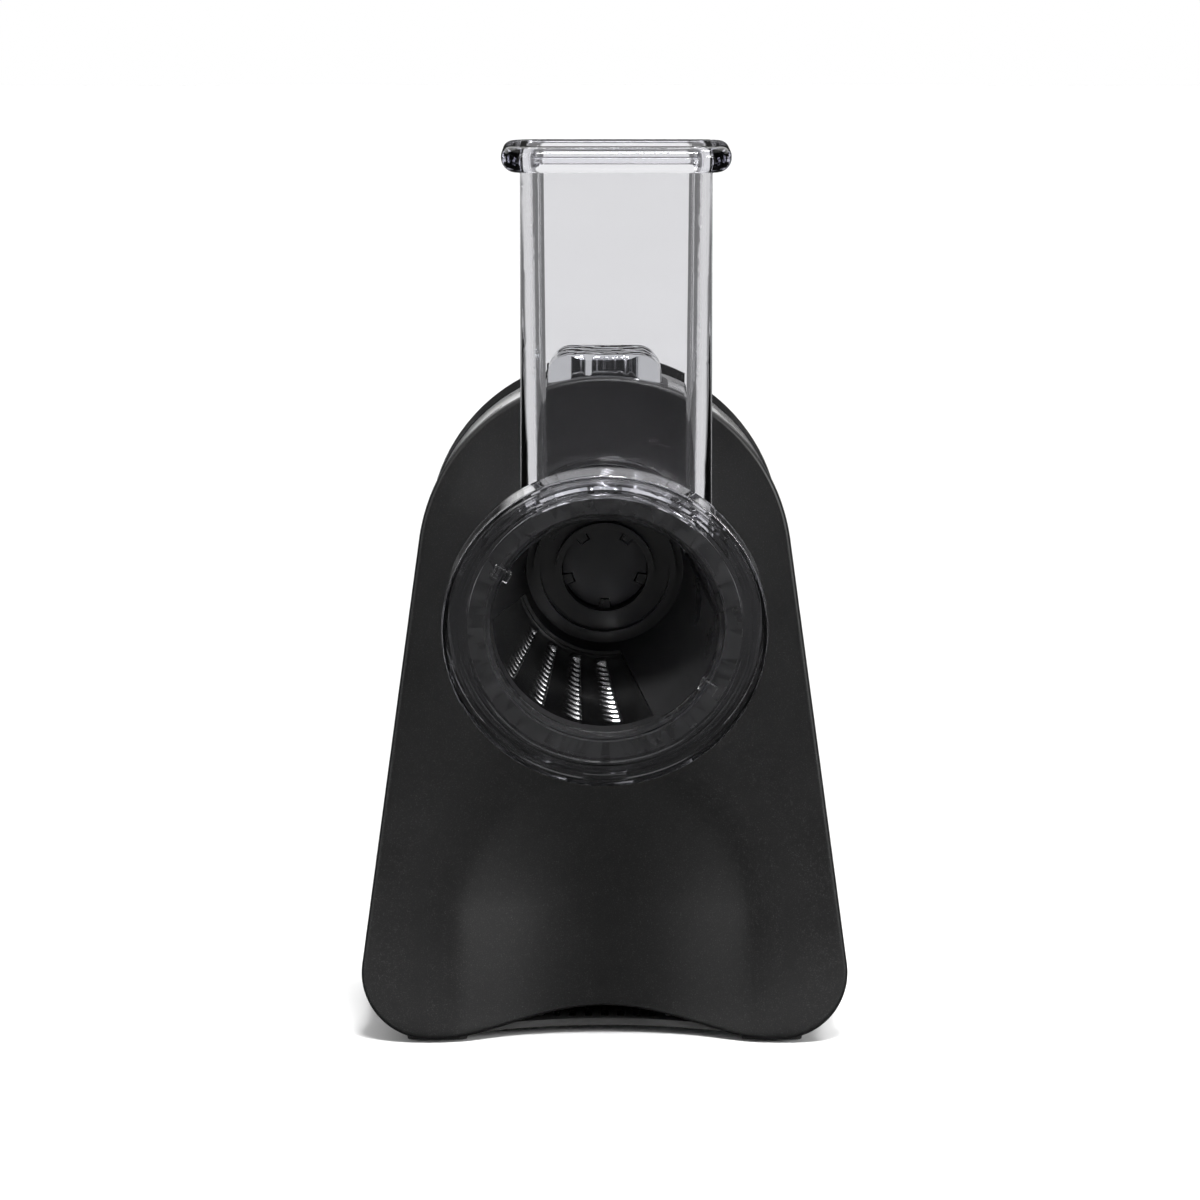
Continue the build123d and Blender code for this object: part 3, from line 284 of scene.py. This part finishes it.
def moulded(name, colour, roughness, grain=0.00002, grain_scale=2500.0, lift=1.35, **settings):
    """Moulded plastic: a fine grain, and slightly cloudy colour and gloss."""
    recipe = Recipe(name, colour, roughness, **settings)
    cloud = recipe.noise(45.0, detail=4.0)
    recipe.vary_roughness(cloud, 0.05)
    recipe.vary_colour(cloud, tuple(min(1.0, lift * c) for c in colour))
    recipe.bump(recipe.noise(grain_scale, detail=2.0), grain)
    return recipe.material


def soft_touch(name):
    """Matte soft-touch black with a fine painted sparkle: lighter specks in the colour of its grain stand in for
    glints.
    """
    recipe = Recipe(name, (0.003, 0.003, 0.0031), 0.38, Specular_IOR_Level=0.42)
    painted_sparkle = recipe.noise(2600.0, detail=1.0)
    # lighter specks in the base colour stand in for glints: painted sparkle
    recipe.vary_colour(painted_sparkle, (0.03, 0.03, 0.031), 0.58, 0.8)
    recipe.vary_roughness(recipe.noise(30.0, detail=3.0), 0.04)
    recipe.bump(recipe.noise(2600.0, detail=2.0), 0.000007)
    return recipe.material


def gloss_black(name):
    """Deep gloss black moulding with a faint ripple."""
    recipe = Recipe(name, (0.006, 0.006, 0.007), 0.09, Specular_IOR_Level=0.35)
    recipe.vary_roughness(recipe.noise(60.0, detail=3.0), 0.03)
    recipe.vary_colour(recipe.noise(25.0, detail=3.0), (0.011, 0.011, 0.012))
    recipe.bump(recipe.noise(18.0, detail=1.0), 0.00004)
    return recipe.material


def brushed(name, colour, roughness, stretch, depth=0.000004, anisotropic=0.5):
    """Metal with fine parallel scratches."""
    recipe = Recipe(name, colour, roughness, Metallic=1.0, Anisotropic=anisotropic)
    lines = recipe.noise(60.0, detail=5.0, stretch=stretch)
    recipe.vary_roughness(lines, 0.07)
    recipe.vary_colour(lines, tuple(0.9 * c for c in colour))
    recipe.bump(lines, depth)
    return recipe.material


def bright_metal(name, colour, roughness, ripple=0.00003, ripple_scale=25.0):
    """Polished or plated metal, with slight waviness and smears."""
    recipe = Recipe(name, colour, roughness, Metallic=1.0)
    smear = recipe.noise(70.0, detail=4.0, stretch=(1.0, 1.0, 3.0))
    recipe.vary_roughness(smear, min(0.04, roughness))
    recipe.vary_colour(smear, tuple(0.93 * c for c in colour))
    recipe.bump(recipe.noise(ripple_scale, detail=1.0, stretch=(1.0, 1.0, 0.05)), ripple)
    return recipe.material


def speckled(name, colour, other, roughness, scale, depth, **settings):
    """A mottled material such as cast, sintered or pressed stock."""
    recipe = Recipe(name, colour, roughness, **settings)
    grains = recipe.noise(scale, detail=4.0)
    recipe.vary_colour(grains, other)
    recipe.vary_roughness(grains, 0.08)
    recipe.bump(grains, depth)
    return recipe.material


def clear_plastic(name):
    """Clear polished plastic with a faint cool tint."""
    recipe = Recipe(name, (0.925, 0.925, 0.935), 0.015, IOR=CLEAR_IOR, Transmission_Weight=1.0)
    recipe.vary_roughness(recipe.noise(40.0, detail=3.0), 0.01)
    recipe.bump(recipe.noise(22.0, detail=1.0, stretch=(1.0, 1.0, 0.25)), 0.00006)
    absorb = recipe.node("ShaderNodeVolumeAbsorption")
    absorb.inputs["Color"].default_value = (0.6, 0.59, 0.82, 1.0)
    absorb.inputs["Density"].default_value = 9.0
    output = recipe.tree.nodes["Material Output"]
    recipe.link(absorb.outputs["Volume"], output.inputs["Volume"])
    return recipe.material


def board(name):
    """Green circuit board with a lattice of darker tracks."""
    recipe = Recipe(name, (0.03, 0.16, 0.07), 0.35)
    tracks = recipe.node("ShaderNodeTexBrick")
    tracks.inputs["Scale"].default_value = 160.0
    recipe.link(recipe.place, tracks.inputs["Vector"])
    recipe.vary_colour(tracks.outputs["Fac"], (0.015, 0.09, 0.045), 0.0, 1.0)
    recipe.vary_roughness(recipe.noise(300.0), 0.06)
    recipe.bump(tracks.outputs["Fac"], 0.00003)
    return recipe.material


def wound_copper(name):
    """Enamelled wire laid side by side."""
    recipe = Recipe(name, (0.62, 0.24, 0.08), 0.28, Metallic=1.0)
    wires = recipe.node("ShaderNodeTexWave", wave_type="BANDS", bands_direction="Y")
    wires.inputs["Scale"].default_value = 900.0
    wires.inputs["Distortion"].default_value = 1.5
    recipe.link(recipe.place, wires.inputs["Vector"])
    recipe.vary_colour(wires.outputs["Fac"], (0.34, 0.11, 0.035), 0.0, 1.0)
    recipe.vary_roughness(recipe.noise(200.0), 0.08)
    recipe.bump(wires.outputs["Fac"], 0.0001)
    return recipe.material


def laminated(name):
    """A stack of thin steel sheets."""
    recipe = Recipe(name, (0.34, 0.34, 0.35), 0.35, Metallic=1.0)
    sheets = recipe.node("ShaderNodeTexWave", wave_type="BANDS", bands_direction="Y")
    sheets.inputs["Scale"].default_value = 600.0
    recipe.link(recipe.place, sheets.inputs["Vector"])
    recipe.vary_colour(sheets.outputs["Fac"], (0.16, 0.16, 0.17), 0.0, 1.0)
    recipe.bump(sheets.outputs["Fac"], 0.00005)
    return recipe.material


def make_materials():
    """One material for each of the record's material slots."""
    along_y = (1.0, 0.03, 1.0)
    steel = (0.62, 0.62, 0.63)
    return {
        "fascia_black": soft_touch("fascia_black"),
        "band_steel": brushed("band_steel", (0.92, 0.92, 0.92), 0.3, (1.0, 1.0, 0.02), 0.000002),
        "cover_black": gloss_black("cover_black"),
        "base_black": moulded("base_black", (0.012, 0.012, 0.012), 0.55),
        "foot_rubber": moulded("foot_rubber", (0.02, 0.02, 0.02), 0.8, 0.00008, 900.0),
        "screw_steel": brushed("screw_steel", steel, 0.3, (0.05, 1.0, 1.0)),
        "button_chrome": bright_metal("button_chrome", (0.87, 0.88, 0.9), 0.03, 0.004, 160.0),
        "bezel_black": moulded("bezel_black", (0.015, 0.015, 0.016), 0.35),
        "spring_steel": brushed("spring_steel", steel, 0.22, (1.0, 1.0, 0.1)),
        "switch_plastic": moulded("switch_plastic", (0.025, 0.025, 0.03), 0.45),
        "gland_rubber": moulded("gland_rubber", (0.02, 0.02, 0.02), 0.75, 0.00006, 900.0),
        "clamp_plastic": moulded("clamp_plastic", (0.03, 0.03, 0.03), 0.5),
        "board_green": board("board_green"),
        "seal_rubber": moulded("seal_rubber", (0.025, 0.025, 0.025), 0.7, 0.00005, 900.0),
        "gearbox_grey": moulded("gearbox_grey", (0.16, 0.165, 0.17), 0.5),
        "bush_bronze": speckled("bush_bronze", (0.55, 0.33, 0.14), (0.32, 0.18, 0.08), 0.4,
                                2200.0, 0.00003, Metallic=1.0),
        "shaft_steel": brushed("shaft_steel", (0.66, 0.66, 0.68), 0.2, along_y),
        "gear_nylon": moulded("gear_nylon", (0.78, 0.76, 0.66), 0.42, lift=0.92,
                              Subsurface_Weight=0.15, Subsurface_Radius=(0.003, 0.002, 0.0012)),
        "coupler_black": moulded("coupler_black", (0.016, 0.016, 0.018), 0.38),
        "can_steel": brushed("can_steel", (0.5, 0.5, 0.51), 0.34, along_y),
        "magnet_ferrite": speckled("magnet_ferrite", (0.05, 0.05, 0.052), (0.09, 0.09, 0.095), 0.6,
                                   1500.0, 0.00006),
        "cap_plastic": moulded("cap_plastic", (0.62, 0.6, 0.54), 0.5, lift=0.93),
        "brush_carbon": speckled("brush_carbon", (0.02, 0.02, 0.021), (0.06, 0.06, 0.062), 0.55,
                                 1800.0, 0.00005),
        "holder_brass": bright_metal("holder_brass", (0.72, 0.5, 0.2), 0.25),
        "core_steel": laminated("core_steel"),
        "winding_copper": wound_copper("winding_copper"),
        "clear_plastic": clear_plastic("clear_plastic"),
        "drum_black": moulded("drum_black", (0.012, 0.012, 0.0125), 0.3, 0.00001),
        "grater_steel": brushed("grater_steel", (0.5, 0.5, 0.51), 0.22, (1.0, 0.08, 0.08), 0.000006),
    }


def dress(materials):
    """Gives every CAD node the material of its slot in the record. The clear ones cast no shadow."""
    for subpart in frame["record"]["subparts"]:
        made = materials[subpart["material_slot"]]
        node = frame["nodes"][subpart["node"]]
        for slot in node.material_slots:
            slot.material = made
        if subpart["material_slot"] == "clear_plastic":
            node.visible_shadow = False


# ---------------------------------------------------------------- mesh helpers

def add_piece(name, points, faces, material, body, replaced=()):
    """A mesh piece that rides a body and takes its finish from a slot."""
    mesh = bpy.data.meshes.new(name)
    mesh.from_pydata([tuple(p) for p in points], [], faces)
    mesh.update()
    mesh.polygons.foreach_set("use_smooth", [True] * len(mesh.polygons))
    mesh.materials.append(material)
    piece = bpy.data.objects.new(name, mesh)
    bpy.context.scene.collection.objects.link(piece)
    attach(piece, body)
    if replaced:
        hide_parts(*replaced)
    return piece


def ring_faces(rows, around, closed_rows):
    """Quads between rows of points that each run once around."""
    faces = []
    for row in range(rows if closed_rows else rows - 1):
        low = row * around
        high = (row + 1) % rows * around
        for i in range(around):
            j = (i + 1) % around
            faces.append((low + i, low + j, high + j, high + i))
    return faces


def smooth_step(value, low, high):
    share = min(1.0, max(0.0, (value - low) / (high - low)))
    return share * share * (3.0 - 2.0 * share)


DRIVE_X = Vector((1.0, 0.0, 0.0))
DRIVE_Y = DRUM_AXIS.cross(DRIVE_X)


def drive_point(radius, angle, height):
    """A point about the drum's axis: angle in radians from the right, height forwards."""
    out = math.cos(angle) * DRIVE_X + math.sin(angle) * DRIVE_Y
    return DRUM_ORIGIN + radius * out + height * DRUM_AXIS


# ---------------------------------------------------------------- fascia

def side_lean():
    """Angle of the housing's sides from upright."""
    rise = DOME_Z - CORNER_Z
    span = math.hypot(rise, CORNER_X)
    return math.atan2(rise, -CORNER_X) - math.acos((CORNER_R - DOME_R) / span)


def arc_points(centre, radius, start, end, count):
    """Points and outward normals along an arc, without its last point."""
    run = []
    for i in range(count):
        angle = start + (end - start) * i / count
        normal = Vector((math.cos(angle), math.sin(angle)))
        run.append((Vector(centre) + radius * normal, normal))
    return run


def line_points(start, end, normal, count):
    """Points along a straight side, without its last point."""
    return [(start.lerp(end, i / count), normal) for i in range(count)]


def arch_lift(x):
    """How far the bottom edge is raised at a place across."""
    if abs(x) >= ARCH_HALF:
        return 0.0
    return ARCH_RISE * math.cos(math.pi * x / (2 * ARCH_HALF)) ** 2


def arch_points(count):
    """The raised bottom edge, from left to right."""
    run = []
    low = CORNER_Z - CORNER_R
    step = 1e-4
    for i in range(count):
        x = CORNER_X * (2 * i / count - 1)
        slope = (arch_lift(x + step) - arch_lift(x - step)) / (2 * step)
        run.append((Vector((x, low + arch_lift(x))), Vector((slope, -1.0)).normalized()))
    return run


def fascia_outline():
    """Points and outward normals anticlockwise round the fascia, in X and Z."""
    lean = side_lean()
    right = Vector((math.cos(lean), math.sin(lean)))
    left = Vector((-right.x, right.y))
    corner, dome = Vector((CORNER_X, CORNER_Z)), Vector((0.0, DOME_Z))
    far_corner = Vector((-CORNER_X, CORNER_Z))
    run = arc_points(corner, CORNER_R, -math.pi / 2, lean, CORNER_STEPS)
    run += line_points(corner + CORNER_R * right, dome + DOME_R * right, right, SIDE_STEPS)
    run += arc_points(dome, DOME_R, lean, math.pi - lean, DOME_STEPS)
    run += line_points(dome + DOME_R * left, far_corner + CORNER_R * left, left, SIDE_STEPS)
    run += arc_points(far_corner, CORNER_R, math.pi - lean, 3 * math.pi / 2, CORNER_STEPS)
    return run + arch_points(ARCH_STEPS)


def bowl_depth(x, z):
    """Depth of the bowl recess behind the fascia's face."""
    over = max(0.0, z - BOWL_SHOULDER_Z)
    reach = BOWL_R ** 2 - over ** 2 - x ** 2
    sharp = math.sqrt(max(0.0, reach)) - (BOWL_R - BOWL_DEPTH)
    return 0.5 * (sharp + math.hypot(sharp, BOWL_BLEND))


def socket_angle(point):
    """Angle about the drum's axis of the ray from the axis to a point on the fascia."""
    return math.atan2((point.y - DRUM_ORIGIN.z) * -DRUM_AXIS.y, point.x)


def fascia_rows(outline):
    """Rows of points that run once round the moulding, from its skirt's back to its hidden side."""
    def row(place):
        return [place(point, normal) for point, normal in outline]

    def at(point, depth):
        return Vector((point.x, FASCIA_Y + depth, point.y))

    def edge(point, normal, inset, back):
        spot = point - inset * normal
        return at(spot, bowl_depth(spot.x, spot.y) + back)

    def skirt_back(point):
        return max(FASCIA_SKIRT, bowl_depth(point.x, point.y) + FASCIA_PLATE)

    def across(point, normal, inset, share, back, radius):
        angle = socket_angle(point)
        height = -radius * math.sin(angle) * DRUM_AXIS.z / DRUM_AXIS.y
        rim = drive_point(radius, angle, height)
        start = point - inset * normal
        spot = start.lerp(Vector((rim.x, rim.z)), share)
        return at(spot, bowl_depth(spot.x, spot.y) + back)

    rows = [row(lambda p, n: at(p - FASCIA_PLATE * n, skirt_back(p))),
            row(lambda p, n: at(p, skirt_back(p)))]
    for step in range(EDGE_STEPS + 1):
        turn = math.pi / 2 * step / EDGE_STEPS
        inset, back = FASCIA_EDGE * (1 - math.cos(turn)), FASCIA_EDGE * (1 - math.sin(turn))
        rows.append(row(lambda p, n: edge(p, n, inset, back)))
    for step in range(1, FACE_STEPS + 1):
        share = step / FACE_STEPS
        rows.append(row(lambda p, n: across(p, n, FASCIA_EDGE, share, 0.0, SOCKET_R + SOCKET_LIP)))
    rows.append(row(lambda p, n: across(p, n, FASCIA_EDGE, 1.0, SOCKET_LIP, SOCKET_R)))
    for radius, height in ((SOCKET_R, SOCKET_FLOOR + SOCKET_FILLET),
                           (SOCKET_R - SOCKET_FILLET, SOCKET_FLOOR),
                           (SEAL_R, SOCKET_FLOOR),
                           (SEAL_R, SOCKET_FLOOR - SOCKET_WALL),
                           (SOCKET_R + SOCKET_WALL, SOCKET_FLOOR - SOCKET_WALL)):
        rows.append(row(lambda p, n: drive_point(radius, socket_angle(p), height)))
    for step in range(HIDDEN_STEPS, -1, -1):
        share = step / HIDDEN_STEPS
        rows.append(row(lambda p, n: across(p, n, FASCIA_PLATE, share, FASCIA_PLATE,
                                            SOCKET_R + SOCKET_WALL)))
    return rows


def add_fascia(materials):
    """The front moulding, with its soft bowl recess, arched foot and oblique socket."""
    rows = fascia_rows(fascia_outline())
    around = len(rows[0])
    points = [point for one in rows for point in one]
    add_piece("fascia_moulding", points, ring_faces(len(rows), around, True), materials["fascia_black"],
              "housing", ["front_fascia"])


# ---------------------------------------------------------------- drum

def drum_radius(height):
    slope = (DRUM_FRONT_R - DRUM_BACK_R) / (DRUM_FRONT - DRUM_BACK)
    return DRUM_BACK_R + slope * (height - DRUM_BACK)


def tooth_samples():
    """Places across the plate as (share of the half window, place across its tooth if any)."""
    samples = []
    spread = 0.5 * (WINDOW_BACK_HALF + WINDOW_FRONT_HALF)
    before = -1.0
    for column in TOOTH_COLUMNS:
        low, high = (column - TOOTH_HALF) / spread, (column + TOOTH_HALF) / spread
        samples += [(before + (low - before) * i / BETWEEN_STEPS, None) for i in range(BETWEEN_STEPS)]
        samples += [(low + (high - low) * i / COLUMN_STEPS, i / COLUMN_STEPS)
                    for i in range(COLUMN_STEPS + 1)]
        samples.append((high + TOOTH_MOUTH, None))
        before = high + TOOTH_GAP
    samples += [(before + (1.0 - before) * i / LAST_STEPS, None) for i in range(LAST_STEPS + 1)]
    return samples


def plate_heights():
    """Places along the plate as (height, place along its tooth if any)."""
    first, last = WINDOW_START + PLATE_MARGIN, WINDOW_END - PLATE_MARGIN
    pitch = (last - first) / TOOTH_ROWS
    heights = [(WINDOW_START - PLATE_LAP, None), (WINDOW_START, None)]
    heights += [(first + pitch * i / ROW_STEPS, i % ROW_STEPS / ROW_STEPS)
                for i in range(TOOTH_ROWS * ROW_STEPS)]
    return heights + [(last, 0.0), (WINDOW_END, None), (WINDOW_END + PLATE_LAP, None)]


def plate_half_angle(height):
    """Half the plate's angle in degrees, with its lap beyond the window."""
    along = (height - WINDOW_START) / (WINDOW_END - WINDOW_START)
    half = WINDOW_BACK_HALF + (WINDOW_FRONT_HALF - WINDOW_BACK_HALF) * along
    return half + math.degrees(PLATE_LAP / drum_radius(height))


def tooth_lift(rise, place):
    """How far a tooth stands out: an arch along the drum that ramps up across its column."""
    if rise is None or place is None:
        return 0.0
    arch = (1.0 - (2.0 * rise - 1.0) ** 2) ** TOOTH_FULLNESS
    return TOOTH_HEIGHT * arch * smooth_step(place, 0.0, TOOTH_RAMP)


def plate_faces(across, heights):
    """Quads over the plate, left out at the high side of each tooth, where it is open."""
    faces = []
    width = len(across)
    for row in range(len(heights) - 1):
        toothed = heights[row][1] is not None and heights[row + 1][1] is not None
        for i in range(width - 1):
            opening = toothed and across[i][1] == 1.0
            if not opening:
                low = row * width + i
                faces.append((low, low + 1, low + width + 1, low + width))
    return faces


def add_plate(name, middle, materials):
    """A curved steel plate with columns of adjoining raised shredding arches."""
    across = tooth_samples()
    heights = plate_heights()
    points = []
    for height, rise in heights:
        half = plate_half_angle(height)
        for share, place in across:
            angle = math.radians(middle + half * share)
            points.append(drive_point(drum_radius(height) + tooth_lift(rise, place), angle, height))
    piece = add_piece(name + "_toothed", points, plate_faces(across, heights),
                      materials["grater_steel"], "drum", [name])
    sheet = piece.modifiers.new("sheet", "SOLIDIFY")
    sheet.thickness = PLATE_THICKNESS
    sheet.offset = -1.0


# ---------------------------------------------------------------- stage

def add_camera():
    data = bpy.data.cameras.new("camera")
    data.sensor_width = SENSOR
    data.lens = LENS
    data.clip_start = CLIP_NEAR
    data.clip_end = CLIP_FAR
    camera = bpy.data.objects.new("camera", data)
    camera.location = (CAMERA_X, FASCIA_Y - CAMERA_DISTANCE, CAMERA_HEIGHT)
    camera.rotation_euler = (math.pi / 2 - CAMERA_PITCH, 0.0, 0.0)
    bpy.context.scene.collection.objects.link(camera)
    bpy.context.scene.camera = camera


def floor_material():
    """Pale paper, painted nearly black with pale painted cards where reflections see it, and with painted dark
    flags where refracted rays see it.
    """
    recipe = Recipe("floor_paper_and_painted_reflections", FLOOR_PAPER, 0.9, Specular_IOR_Level=0.1)
    recipe.vary_colour(recipe.noise(3.0), FLOOR_CLOUD)
    paper = recipe.shader.inputs["Base Color"].links[0].from_socket
    split = recipe.node("ShaderNodeSeparateXYZ")
    recipe.link(recipe.place, split.inputs[0])
    aside = recipe.math("ABSOLUTE", split.outputs["X"])
    from_front = recipe.math("ARCTAN2", aside, recipe.math("MULTIPLY", split.outputs["Y"], -1.0))
    from_back = recipe.math("ARCTAN2", aside, split.outputs["Y"])
    path = recipe.node("ShaderNodeLightPath").outputs
    reflected = recipe.ranged(path["Glossy Depth"], 0.0, 1.0, *BOUNCED)
    refracted = recipe.ranged(path["Transmission Depth"], 0.0, 1.0, *BOUNCED)
    unrefracted = recipe.ranged(path["Transmission Depth"], 1.0, 0.0, *BOUNCED)

    # dark flags painted into the floor's colour behind the part, seen only through clear plastic: painted shade
    painted_flag = recipe.math("MULTIPLY", recipe.ranged(from_back, 0.0, 1.0, *PAINTED_FLAGS_INNER),
                       recipe.ranged(from_back, *PAINTED_FLAG_DARKNESS, *PAINTED_FLAGS_OUTER))
    paper_and_painted_flags = recipe.mixed(recipe.math("MULTIPLY", painted_flag, refracted),
                           paper, (*PAINTED_FLAG_COLOUR, 1.0), "RGBA")

    # pale cards painted into the floor's colour that only reflections see: painted reflections
    painted_card = recipe.math("MULTIPLY", recipe.ranged(from_front, 0.0, 1.0, PAINTED_CARD_ANGLES[0] - PAINTED_CARD_EDGE, PAINTED_CARD_ANGLES[0]),
                       recipe.ranged(from_front, 1.0, 0.0, PAINTED_CARD_ANGLES[1], PAINTED_CARD_ANGLES[1] + PAINTED_CARD_EDGE))
    painted_reflections = recipe.mixed(painted_card, (*PAINTED_DARK_FLOOR_IN_REFLECTIONS, 1.0), (*PAINTED_CARD_COLOUR, 1.0), "RGBA")
    in_front = recipe.ranged(from_front, 1.0, 0.0, PAINTED_CARD_ANGLES[0], PAINTED_CARD_ANGLES[0] + PAINTED_CARD_EDGE)
    swapped = recipe.math("MULTIPLY", reflected, recipe.math("MAXIMUM", unrefracted, in_front))
    seen = recipe.mixed(swapped, paper_and_painted_flags, painted_reflections, "RGBA")
    recipe.link(seen, recipe.shader.inputs["Base Color"])
    return recipe.material


def add_floor():
    """A large round floor."""
    turns = [2 * math.pi * i / FLOOR_CORNERS for i in range(FLOOR_CORNERS)]
    ring = [Vector((math.cos(turn), math.sin(turn), 0.0)) * FLOOR_RADIUS for turn in turns]
    mesh = bpy.data.meshes.new("floor")
    mesh.from_pydata(ring, [], [list(range(FLOOR_CORNERS))])
    floor = bpy.data.objects.new("floor", mesh)
    bpy.context.scene.collection.objects.link(floor)
    mesh.materials.append(floor_material())


class WorldRecipe(Nodes):
    """The studio's surroundings, painted by direction."""

    def __init__(self):
        self.world = bpy.data.worlds.new("studio")
        self.world.use_nodes = True
        super().__init__(self.world.node_tree)
        self.background = self.tree.nodes["Background"]
        self.background.inputs["Color"].default_value = (1.0, 1.0, 1.0, 1.0)
        split = self.node("ShaderNodeSeparateXYZ")
        self.link(self.node("ShaderNodeTexCoord").outputs["Generated"], split.inputs[0])
        self.x, self.y, self.z = split.outputs
        self.path = self.node("ShaderNodeLightPath").outputs

    def patch(self, masks, strength):
        """A lit area: masks multiplied together, times a strength."""
        product = strength
        for mask in masks:
            product = self.math("MULTIPLY", mask, product)
        return product

    def step(self, source, low, high):
        """A smooth step from 0 at low to 1 at high. It falls when low is above high."""
        made = self.node("ShaderNodeMapRange", interpolation_type="SMOOTHSTEP")
        if low > high:
            made.inputs["To Min"].default_value = 1.0
            made.inputs["To Max"].default_value = 0.0
            low, high = high, low
        made.inputs["From Min"].default_value = low
        made.inputs["From Max"].default_value = high
        self.link(source, made.inputs["Value"])
        return made.outputs["Result"]

    def panel(self, source, low, high, edge):
        """A band that is 1 between low and high, with soft edges."""
        rising = self.step(source, low - edge, low)
        falling = self.step(source, high + edge, high)
        return self.math("MULTIPLY", rising, falling)


def studio_light(sky):
    """Back wall, ceiling, two softboxes and two front strips, for rays that bounced."""
    back = sky.patch([sky.step(sky.y, *BACK_WALL_Y), sky.step(sky.z, *BACK_WALL_Z)], BACK_WALL_LIGHT)
    top = sky.patch([sky.step(sky.z, *CEILING_Z)], CEILING_LIGHT)
    upright = sky.panel(sky.z, *SOFTBOX_Z, SOFTBOX_Z_EDGE)
    from_front = sky.math("ARCTAN2", sky.x, sky.math("MULTIPLY", sky.y, -1.0))
    left = sky.patch([sky.panel(from_front, *SOFTBOX_LEFT, SOFTBOX_EDGE), upright], SOFTBOX_LEFT_LIGHT)
    right = sky.patch([sky.panel(from_front, *SOFTBOX_RIGHT, SOFTBOX_EDGE), upright],
                      SOFTBOX_RIGHT_LIGHT)
    strips = sky.panel(sky.math("ABSOLUTE", sky.x), *STRIP_X, STRIP_X_EDGE)
    front = sky.patch([sky.step(sky.y, *STRIP_Y), strips], STRIP_LIGHT)
    total = BASE_LIGHT
    for part in (back, top, left, right, front):
        total = sky.math("ADD", part, total)
    return total


def light_through_clear(sky, reflected):
    """White panels for rays that only passed clear plastic, and even light to its sides."""
    refracted = sky.step(sky.path["Transmission Depth"], *BOUNCED)
    unreflected = sky.step(sky.path["Glossy Depth"], *reversed(BOUNCED))
    straight = sky.math("MULTIPLY", refracted, unreflected)
    off_panel = sky.math("PINGPONG", sky.math("ARCTAN2", sky.x, sky.y), PANEL_PITCH / 2)
    gaps = sky.step(off_panel, PANEL_PITCH * PANEL_GAP[0], PANEL_PITCH * PANEL_GAP[1])
    panels = sky.math("SUBTRACT", 1.0, sky.math("MULTIPLY", gaps, GAP_DARKNESS))
    aside = sky.math("MAXIMUM", sky.step(sky.math("ABSOLUTE", sky.x), *SIDEWAYS_X),
                     sky.step(sky.z, *SIDEWAYS_Z))
    sideways = sky.patch([aside, refracted], 1.0)
    return sky.mixed(straight, sky.mixed(sideways, reflected, SIDEWAYS_LIGHT), panels)


def add_world():
    """White to the camera, and a studio to rays that bounced or passed clear plastic."""
    sky = WorldRecipe()
    bounced = light_through_clear(sky, studio_light(sky))
    strength = sky.mixed(sky.path["Is Camera Ray"], bounced, 1.0)
    sky.link(strength, sky.background.inputs["Strength"])
    bpy.context.scene.world = sky.world


def aim_lamp(name, data, place, target):
    """A lamp at a place, pointed at a target and unseen by the camera."""
    lamp = bpy.data.objects.new(name, data)
    lamp.location = place
    lamp.rotation_euler = (Vector(target) - Vector(place)).to_track_quat("-Z", "Y").to_euler()
    lamp.visible_camera = False
    bpy.context.scene.collection.objects.link(lamp)


def add_spot():
    """A spot from high in front, which the drum shades the bowl recess from."""
    data = bpy.data.lights.new("spot", "SPOT")
    data.spot_size = SPOT_CONE
    data.spot_blend = SPOT_BLEND
    data.shadow_soft_size = SPOT_RADIUS
    data.energy = SPOT_POWER
    aim_lamp("spot", data, SPOT_PLACE, SPOT_TARGET)


def add_side_lamp():
    """A small square lamp from the front right."""
    data = bpy.data.lights.new("side", "AREA")
    data.shape = "RECTANGLE"
    data.size, data.size_y = SIDE_SIZE
    data.energy = SIDE_POWER
    aim_lamp("side", data, SIDE_PLACE, SIDE_TARGET)


def add_sun():
    """Soft light from above right."""
    data = bpy.data.lights.new("sun", "SUN")
    data.energy = SUN_STRENGTH
    data.angle = SUN_ANGLE
    sun = bpy.data.objects.new("sun", data)
    sun.rotation_euler = Vector(SUN_FROM).to_track_quat("Z", "Y").to_euler()
    bpy.context.scene.collection.objects.link(sun)


bpy.context.scene.view_settings.view_transform = "Standard"
add_camera()
add_floor()
add_world()
add_spot()
add_side_lamp()
add_sun()
materials = make_materials()
dress(materials)
add_fascia(materials)
for plate_name, window_angle in WINDOW_ANGLES.items():
    add_plate(plate_name, window_angle, materials)

bpy.context.view_layer.update()
